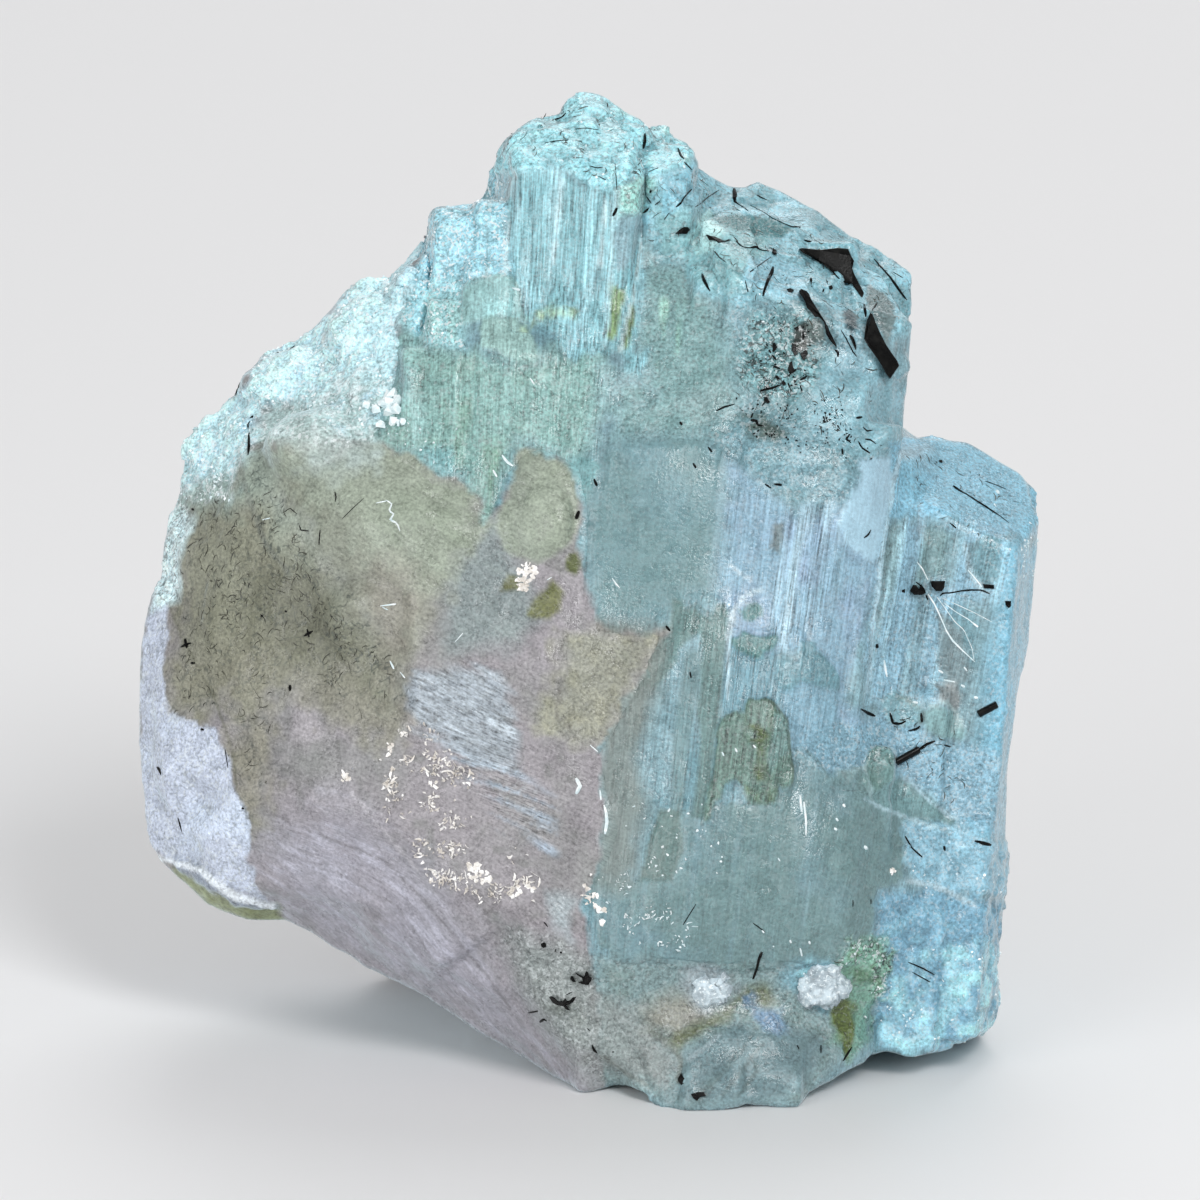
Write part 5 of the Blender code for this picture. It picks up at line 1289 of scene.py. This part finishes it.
def tube(solid, middles, radii, turn, sides, grooves):
    """A closed tube through the points, with its flanks grooved lengthwise."""
    rings = []
    for k, (middle, radius) in enumerate(zip(middles, radii)):
        axis = (middles[min(k + 1, len(middles) - 1)] - middles[max(k - 1, 0)]).normalized()
        out = (Vector((0, 0, 1)) - axis * axis.z).normalized()
        side = axis.cross(out)
        ring = []
        for i in range(sides):
            angle = math.tau * i / sides
            groove = 1 + grooves * (math.cos(3 * angle + turn) + 0.4 * math.cos(8 * angle))
            ring.append(solid.verts.new(middle + (out * math.cos(angle) + side * math.sin(angle))
                                        * radius * groove))
        rings.append(ring)
    for low, high in zip(rings, rings[1:]):
        for i in range(sides):
            solid.faces.new((low[i], low[(i + 1) % sides], high[(i + 1) % sides], high[i]))
    solid.faces.new(rings[0][::-1])
    solid.faces.new(rings[-1])


def strand(solid, path, proud=0.2):
    """A needle along the skin, as thick in each place as the path says, in pixels."""
    nodes = plotted(path)
    run = np.concatenate(((0,), np.cumsum(np.hypot(*np.diff(nodes[:, :2], axis=0).T))))
    at = np.linspace(0, run[-1], int(run[-1] / 4) + 3)
    across, down, wide = (np.interp(at, run, nodes[:, k]) for k in range(3))
    radii = wide * PIXEL / 2
    radii[[0, -1]] *= 0.6
    middles = [on_skin(x, y) + Vector((0, 0, radius * proud))
               for x, y, radius in zip(across, down, radii)]
    tube(solid, middles, radii, run[-1], 6, 0.1)


def rod(solid, start, end, width):
    """A straight grooved prism with square broken ends, lying half sunk."""
    a, b = on_skin(*start), on_skin(*end)
    radius = width * PIXEL / 2
    middles = [a.lerp(b, t) + Vector((0, 0, radius * 0.4)) for t in (0, 0.03, 0.5, 0.97, 1)]
    tube(solid, middles, [radius * k for k in (0.8, 1, 1.04, 1, 0.85)], 1.0, 24, 0.07)


def as_piece(name, solid, material, slot, *nodes):
    """Turns a mesh in the face's frame into a finished piece that rides with the specimen."""
    bmesh.ops.recalc_face_normals(solid, faces=solid.faces[:])
    mesh = bpy.data.meshes.new(name)
    solid.to_mesh(mesh)
    solid.free()
    stand_up(mesh)
    piece = show(name, mesh)
    mesh.materials.append(material)
    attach(piece, "root")
    if nodes:
        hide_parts(*nodes)


schorl_black, tree, shader = stone("black_schorl")
place = on_object(tree)
groove = swirl(tree, place, (0.12, 0.12, 0.12), 2.0)
smoke = swirl(tree, place, (0.8, 0.8, 0.8))
colour = over(tree, between(tree, smoke, 0.5, 0.7), hue(2, 3, 3), hue(20, 20, 18))
finish(tree, shader, colour, between(tree, smoke, 0.35, 0.65, 0.2, 0.45), groove, 0.03, 0.6)
shader.inputs["IOR"].default_value = SCHORL_IOR
shader.inputs["Specular IOR Level"].default_value = 0.1

prisms = {node: (lump, outline, 0.4) for node, outline in LUMPS.items()}
prisms |= {node: (rod, *ends) for node, ends in RODS.items()}
prisms["schorl_prism_8"] = (strand, CHAIN)
for node, (make, *sizes) in prisms.items():
    solid = bmesh.new()
    make(solid, *sizes)
    as_piece(node.replace("schorl", "black"), solid, schorl_black, "schorl", node)
solid = bmesh.new()
for outline in LOOSE_LUMPS:
    lump(solid, outline, 0.1, 0.4, 0.03)
for path in NEEDLES:
    strand(solid, path)
as_piece("schorl_needles", solid, schorl_black, "schorl")

# White albite
# Two lumps of sugary albite that grew on the ledge at the foot, each a knot of small platy
# crystals packed so close that it looks like lump sugar.
ALBITE_VOXEL = 0.13

albite_white, tree, shader = stone("sugary_albite")
place = on_object(tree)
patch = swirl(tree, place, (0.9, 0.9, 0.9))
crumb = swirl(tree, place, (0.25, 0.25, 0.25), shift=4.0)
colour = over(tree, between(tree, patch, 0.42, 0.58), hue(164, 178, 186), hue(210, 226, 234))
colour = over(tree, between(tree, crumb, 0.55, 0.63), colour, hue(242, 252, 255))
finish(tree, shader, colour, between(tree, crumb, 0.35, 0.65, 0.2, 0.45), crumb, 0.08)
for i, crystal_size in ((1, 1.1), (2, 0.5)):
    piece = show(f"white_albite_{i}", merged(f"albite_lump_{i}", grow=0.25))
    mesh = skin_over(piece, ALBITE_VOXEL)
    points = points_of(mesh)
    height = (chips(points, 1.7, 66 + i) * 0.5 + chips(points, crystal_size, 70 + i) * 0.25
              + rough(points, 0.4, 72, 2) * 0.06)
    move_points(mesh, points + outward(mesh) * height[:, None])
    coat(mesh, albite_white)
    stand_up(mesh)
    mesh.shade_smooth()
    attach(piece, "root")
    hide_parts(f"albite_lump_{i}")

# Painted glints, sugar and hairs
# Painted glints: white flakes, slivers and plates where broken faces and healed cracks catch the light;
# white cracks, white crystals and sugary grains on the crust; hair-fine dark fibres and specks; all strewn
# over the skins where they grew.
SHINY_GRAIN = "514,578 518,569 524,563 532,563 540,569 537,578 530,582 526,592 521,591 518,586"
GRAIN_CLUSTER = """386,396,6 393,394,6 397,400,6 391,402,7 383,404,6 376,411,6 388,411,8 396,409,6
    366,405,4 393,421,5 398,423,4 402,422,4 381,425,5"""
GEOMETRY = "GeometryNode"
PLATE_SPACING = 11.0
GRAIN_LIFT = 0.25
GRAIN_GROW = 2.3
# Bright white plates: painted glints, the first on a shiny cream crystal
BRIGHT_PLATES = (
    SHINY_GRAIN, "466,866 474,862 486,868 492,880 480,884 470,878",
    "508,888 518,884 523,892 516,900 509,896", "526,878 532,884 534,893 529,890",
    "388,742 393,740 391,757 387,760", "430,782 437,782 436,791 431,791",
    "583,882 590,888 600,896 594,898 585,890", "590,901 600,905 612,912 604,913 592,906",
    "598,922 607,923 606,928 599,927", "340,768 348,770 350,780 343,782",
    "890,870 896,868 898,874 891,875")
# White cracks, and short white streaks that are painted glints
WHITE_VEINS_AND_GLINTS = (
    "917,562,1.1 922,568,1.5 928,580,1.1",
    "928,594,1.4 935,605,1.8 941,618,1.4 947,632,1.6 953,641,2.2 962,650,1.5 975,662,1",
    "937,597,0.8 945,608,1.1 955,622,1.1 964,630,0.9 972,648,0.8 974,660,1.1",
    "944,603,0.9 956,612,0.9 968,619,0.9 973,623,1.5 978,627,3",
    "942,598,0.8 960,606,0.8 975,613,0.8 992,622,0.8", "968,570,1.4 975,578,1.4 982,587,1.1",
    "884,660,2 885,668,3 887,677,2", "938,670,2 943,673,3", "964,667,2 967,671,2",
    "961,685,2.5 965,687,3", "974,697,3 978,698,3", "944,680,2 955,682,2", "913,702,3 918,703,3",
    "800,795,2 801,806,3 802,812,2", "804,802,2 806,820,2.5 806,835,1.5", "843,804,3 845,807,3",
    "836,818,2.5 838,821,2.5", "834,828,2.5 837,830,3", "864,846,4 867,849,4", "778,858,1.5 780,861,2",
    "762,930,2 764,933,2", "773,946,2.5 774,947,2", "790,940,2.5 791,943,2", "809,941,2.5 810,944,2",
    "800,948,2 802,956,2", "996,491,5 999,494,5", "994,504,2 996,507,1.5",
    "502,455,2 507,462,3 513,466,2", "493,470,2 497,477,2.5",
    "386,500,1.5 392,504,2 389,511,2.5 394,514,2 390,520,3 397,523,2 400,531,1.5",
    "376,503,0.8 386,501,1.5", "390,661,1.5 394,669,2.5", "400,672,1 405,678,2", "455,642,1 463,633,1.5",
    "380,606,1 396,604,2", "382,607,1 388,610,1.5", "262,520,1 270,518,1.5", "552,577,1 547,580,1.5",
    "612,578,1.5 616,584,2.5 620,588,1", "735,748,1.5 737,752,3", "753,745,1.5 756,748,2.5",
    "722,752,2 724,756,2", "604,805,2 606,812,3 607,822,4 605,834,3", "590,745,1 598,752,1.5",
    "600,790,1.5 601,800,2", "576,778,4 580,786,5 576,794,4", "488,186,2 491,196,2.5",
    "497,182,1.5 499,190,2", "683,165,3 685,168,3", "640,160,1.2 644,170,1", "512,288,2 520,290,3",
    "530,378,2 534,384,2")
# Where painted glints (glint, twinkle), dark specks, white crust and dark threads are strewn
SPOTS = dict(
    glint=(
        """378,745 395,730 425,722 445,745 470,775 480,800 455,830 470,850 520,845 535,880 530,900 505,905
            470,900 435,885 420,850 400,830 385,800 375,775""",
        "575,858 600,865 640,890 668,905 697,935 690,946 640,945 600,915 580,895"),
    twinkle=(
        "418,270 440,235 470,220 480,280 440,340 404,330", "1005,525 1036,520 1034,575 1008,570",
        "735,295 760,290 765,320 740,325", "838,942 860,938 880,945 885,975 870,1020 852,1010 846,975",
        "870,1000 900,995 910,1030 890,1040 872,1030",
        "790,960 815,960 832,975 828,1000 805,1000 790,985", "370,425 400,420 470,430 440,470 380,440",
        "600,800 700,800 740,860 700,900 640,870", "930,880 985,890 980,905 935,895",
        "484,180 505,178 505,240 488,240"),
    speck=(
        "765,318 812,318 815,350 800,392 760,395 765,340",
        "735,400 790,395 860,400 882,430 875,460 835,455 760,450"),
    crust=(
        "418,235 450,225 484,190 486,270 466,290 440,335 402,330",
        "838,942 880,938 890,960 880,990 850,985", "885,990 940,945 1010,950 1005,1030 905,1050",
        "990,545 1050,535 1045,590 1010,575", "905,870 1000,870 1000,905 930,895",
        "590,100 640,120 680,150 670,170 600,185 540,150"),
    thread=(
        "640,175 760,180 850,238 913,275 905,335 860,330 740,300 650,240",
        "500,130 570,100 640,120 690,150 650,178 560,170 500,170",
        "740,300 830,310 880,380 900,440 800,440 740,400", "905,440 1020,485 1000,530 920,515",
        "870,700 965,720 980,830 890,770", "838,945 875,960 865,1040 835,1040"))


def splinter(solid, middle, size, seed, flat=0.7):
    """One small broken crystal: the hull of a few random corners."""
    corners = np.array([[chance(np.array([k, axis, 3]), seed) - 0.5 for axis in range(3)]
                        for k in range(11)])
    corners /= np.linalg.norm(corners, axis=1)[:, None] * 2
    verts = [solid.verts.new(middle + Vector(c * size * (1, 1, flat))) for c in corners]
    hull = bmesh.ops.convex_hull(solid, input=verts)
    unused = [g for g in hull["geom_interior"] if isinstance(g, bmesh.types.BMVert)]
    bmesh.ops.delete(solid, geom=unused, context="VERTS")


def strewn(name, ground, where, shape, material, per_mm2, smallest, largest, seed,
           flat=False):
    """Strews copies of a small shape over a skin, as densely as the attribute says."""
    group = bpy.data.node_groups.new(name, "GeometryNodeTree")
    new_socket = group.interface.new_socket
    new_socket("Geometry", in_out="INPUT", socket_type="NodeSocketGeometry")
    values = {}
    for label, value in (("Per square millimetre", per_mm2), ("Smallest", smallest),
                         ("Largest", largest)):
        socket = new_socket(label, in_out="INPUT", socket_type="NodeSocketFloat")
        values[socket.identifier] = float(value)
    socket = new_socket("Seed", in_out="INPUT", socket_type="NodeSocketInt")
    values[socket.identifier] = seed
    new_socket("Geometry", in_out="OUTPUT", socket_type="NodeSocketGeometry")
    given = group.nodes.new("NodeGroupInput").outputs
    by_vector, own = {"data_type": "FLOAT_VECTOR"}, given["Seed"]
    share = add(group, "InputNamedAttribute", {"data_type": "FLOAT"}, GEOMETRY, Name=where)
    dense = sums(group, "MULTIPLY", given["Per square millimetre"], share.outputs["Attribute"])
    spots = add(group, "DistributePointsOnFaces", (), GEOMETRY, Mesh=given["Geometry"],
                Density=dense, Seed=own).outputs
    size = add(group, "RandomValue", by_vector, "FunctionNode", i0=given["Smallest"],
               i1=given["Largest"], Seed=own).outputs[0]
    turn = add(group, "RandomValue", by_vector, "FunctionNode", Seed=own,
               i1=(0.0, 0.0, math.tau) if flat else (math.tau,) * 3).outputs[0]
    rotate = add(group, "RotateRotation", {"rotation_space": "LOCAL"}, "FunctionNode",
                 i0=spots["Rotation"], i1=turn).outputs[0]
    model = add(group, "ObjectInfo", (), GEOMETRY, Object=shape).outputs["Geometry"]
    copies = add(group, "InstanceOnPoints", (), GEOMETRY, Points=spots["Points"],
                 Instance=model, Rotation=rotate, Scale=size).outputs[0]
    real = add(group, "RealizeInstances", (), GEOMETRY, i0=copies).outputs[0]
    coated = add(group, "SetMaterial", (), GEOMETRY, Geometry=real, Material=material).outputs[0]
    group.links.new(coated, group.nodes.new("NodeGroupOutput").inputs[0])
    piece = show(name, ground)
    modifier = piece.modifiers.new(name, "NODES")
    modifier.node_group = group
    for identifier, value in values.items():
        modifier[identifier] = value
    mesh = evaluated(piece)
    stand_up(mesh)
    mesh.name = name
    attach(piece, "root")


def shape_of(name, build):
    """A small shape, out of the scene, for copies to be made of."""
    solid = bmesh.new()
    build(solid)
    mesh = bpy.data.meshes.new(name)
    solid.to_mesh(mesh)
    solid.free()
    return bpy.data.objects.new(name, mesh)


def flake(solid):
    """A small flat chip, one unit across."""
    splinter(solid, Vector(), 1.0, 91, flat=0.6)


def bent(solid, bow, thick, ends):
    """A bent three-sided sliver, one unit long."""
    rings = []
    for t in (-0.5, -0.17, 0.17, 0.5):
        radius = thick if abs(t) < 0.3 else thick * ends
        rings.append([solid.verts.new((t, bow * t * t + radius * math.cos(a), radius * math.sin(a)))
                      for a in (0, math.tau / 3, 2 * math.tau / 3)])
    for low, high in zip(rings, rings[1:]):
        for i in range(3):
            solid.faces.new((low[i], low[(i + 1) % 3], high[(i + 1) % 3], high[i]))
    solid.faces.new(rings[0][::-1])
    solid.faces.new(rings[-1])


flake_shape = shape_of("flake", flake)
hair_shape = shape_of("hair", lambda solid: bent(solid, 0.6, 0.06, 0.4))
sliver_shape = shape_of("sliver", lambda solid: bent(solid, 0.8, 0.17, 0.5))


def plain_stone(name, dark, light, gloss):
    """A stone mottled between two tones."""
    material, tree, shader = stone(name)
    tone = between(tree, swirl(tree, on_object(tree), (0.7, 0.7, 0.7), 2.0), 0.4, 0.6)
    tree.links.new(over(tree, tone, hue(*dark), hue(*light)), shader.inputs["Base Color"])
    shader.inputs["Roughness"].default_value = gloss
    return material


# White materials for painted glints, also used for real white grains, cracks and crust
warm_bright = plain_stone("shiny_grain_and_glint", (214, 208, 200), (255, 254, 252), 0.2)
cool_bright = plain_stone("white_grain_crack_and_glint", (216, 234, 238), (248, 254, 255), 0.2)
dark_fibre = plain_stone("dark_fibre", (34, 36, 30), (72, 72, 60), 0.5)
solid = bmesh.new()
for seed, outline in enumerate(BRIGHT_PLATES):
    low, high = plotted(outline).min(0), plotted(outline).max(0)
    tries = np.arange(int(np.prod(high - low) / PLATE_SPACING))
    spread = np.stack([chance(np.stack((tries, tries * 0 + k, tries * 0), 1), 300 + seed)
                       for k in (0, 1)], 1)
    middles = low + spread * (high - low)
    for i in np.flatnonzero(inside(middles, outline) > 0):
        size = (3 + 5 * chance(np.array([i, 2, 0]), 300 + seed)) * PIXEL
        splinter(solid, on_skin(*middles[i]), size, 320 + int(i), flat=0.5)
as_piece("bright_plates", solid, warm_bright, "quartz")
solid = bmesh.new()
for i, (x, y, size) in enumerate(plotted(GRAIN_CLUSTER)):
    splinter(solid, on_skin(x, y) + Vector((0, 0, GRAIN_LIFT)), size * PIXEL * GRAIN_GROW, 80 + i)
as_piece("white_grains", solid, cool_bright, "albite")
solid = bmesh.new()
for path in WHITE_VEINS_AND_GLINTS:
    strand(solid, path, proud=0.0)
as_piece("bright_veins", solid, cool_bright, "aquamarine")
for shell in (quartz_shell, beryl_shell):
    points = points_of(shell)
    pixels, front = as_seen(points), points[:, 2] > RIM_DEPTH
    clumps = smooth_step(rough(points, 0.9, 60, 2), -0.1, 0.5)
    for name, spots in SPOTS.items():
        depth = np.max([inside(pixels, spot) for spot in spots], 0)
        keep(shell, name, np.where(front, smooth_step(depth, -0.6, 0.8) * clumps, 0.0))
for name, depth in (("hair", "stain_depth"), ("sugar", "snow_depth")):
    kept = np.zeros(len(quartz_shell.vertices), np.float32)
    quartz_shell.attributes[depth].data.foreach_get("value", kept)
    clumps = smooth_step(rough(points_of(quartz_shell), 1.5, 61, 2), -0.4, 0.6)
    keep(quartz_shell, name, smooth_step(kept, -0.5, 1.5) * clumps)
quartz_skin, beryl_skin = (quartz_shell, "quartz"), (beryl_shell, "aquamarine")
# The glints and twinkles are painted glints; the sugar grains and crust are white crystals
for name, (ground, slot), where, shape, stuff, per_mm2, smallest, largest, seed in (
        ("quartz_glints", quartz_skin, "glint", sliver_shape, warm_bright, 20.0, 0.15, 0.8, 1),
        ("beryl_glints", beryl_skin, "glint", sliver_shape, cool_bright, 16.0, 0.12, 0.6, 2),
        ("quartz_twinkles", quartz_skin, "twinkle", flake_shape, cool_bright, 2.5, 0.1, 0.35, 6),
        ("beryl_twinkles", beryl_skin, "twinkle", flake_shape, cool_bright, 2.5, 0.1, 0.35, 7),
        ("sugar_grains", quartz_skin, "sugar", flake_shape, cool_bright, 5.0, 0.1, 0.42, 3),
        ("dark_hairs", quartz_skin, "hair", hair_shape, dark_fibre, 3.6, 0.15, 0.9, 4),
        ("beryl_sugar", beryl_skin, "crust", flake_shape, cool_bright, 3.0, 0.08, 0.32, 8),
        ("beryl_threads", beryl_skin, "thread", hair_shape, dark_fibre, 2.2, 0.15, 0.9, 9),
        ("black_specks", beryl_skin, "speck", flake_shape, schorl_black, 9.0, 0.05, 0.3, 5)):
    strewn(name, ground, where, shape, stuff, per_mm2, smallest,
           largest, seed, flat=shape is hair_shape)

# Camera, floor and light
# A long lens on the photograph's line of sight, square to the leaned face, over a plain pale
# sweep lit by soft boxes from the upper right, the left and the back.
FRAME_WIDTH = 84.0
SENSOR = 36.0
SWEEP_FRONT, SWEEP_BACK, SWEEP_SIDE, SWEEP_BEND, SWEEP_TOP = 1.8, 1.6, 2.2, 0.5, 2.5
LAMPS_AIM = (0, 0, 0.03)
ROOM_LIGHT = 0.44
camera = bpy.data.cameras.new("camera")
camera.sensor_width = SENSOR
camera.lens = SENSOR * VIEW_DISTANCE / FRAME_WIDTH
camera.clip_start = 0.05
camera.clip_end = 20.0
eye = show("camera", camera)
place = standing(np.array((0.0, AIM_HEIGHT, RIM_DEPTH + VIEW_DISTANCE)))
eye.matrix_world = Matrix.Translation(place) @ Matrix(lean).to_4x4()
bpy.context.scene.camera = eye

sweep = bmesh.new()
profile = [(-SWEEP_FRONT, 0.0), (SWEEP_BACK, 0.0)]
profile += [(SWEEP_BACK + SWEEP_BEND * math.sin(a), SWEEP_BEND - SWEEP_BEND * math.cos(a))
            for a in np.linspace(0.1, math.pi / 2, 16)]
profile += [(SWEEP_BACK + SWEEP_BEND, SWEEP_TOP)]
rows = [[sweep.verts.new((x, y, z)) for y, z in profile] for x in (-SWEEP_SIDE, SWEEP_SIDE)]
for i in range(len(profile) - 1):
    sweep.faces.new((rows[0][i], rows[1][i], rows[1][i + 1], rows[0][i + 1]))
mesh = bpy.data.meshes.new("sweep")
sweep.to_mesh(mesh)
floor = show("sweep", mesh)
mesh.shade_smooth()
material, _, shader = stone("pale_paper")
shader.inputs["Base Color"].default_value = hue(232, 232, 233)
shader.inputs["Roughness"].default_value = 0.5
mesh.materials.append(material)


def soft_box(name, place, size, power):
    """A square white lamp that looks at the specimen."""
    lamp = bpy.data.lights.new(name, "AREA")
    lamp.size = size
    lamp.energy = power
    thing = show(name, lamp)
    thing.location = place
    thing.rotation_euler = (Vector(LAMPS_AIM) - Vector(place)).to_track_quat("-Z", "Y").to_euler()


soft_box("key", (0.35, -0.75, 0.75), 0.35, 5.6)
soft_box("fill", (-0.6, -0.75, 0.25), 0.6, 3.6)
soft_box("back", (0.1, 0.6, 0.7), 0.5, 2.5)
world = bpy.data.worlds.new("room")
world.use_nodes = True
room = world.node_tree.nodes["Background"].inputs
room["Color"].default_value = (1, 1, 1, 1)
room["Strength"].default_value = ROOM_LIGHT
bpy.context.scene.world = world
bpy.context.scene.view_settings.view_transform = "Standard"
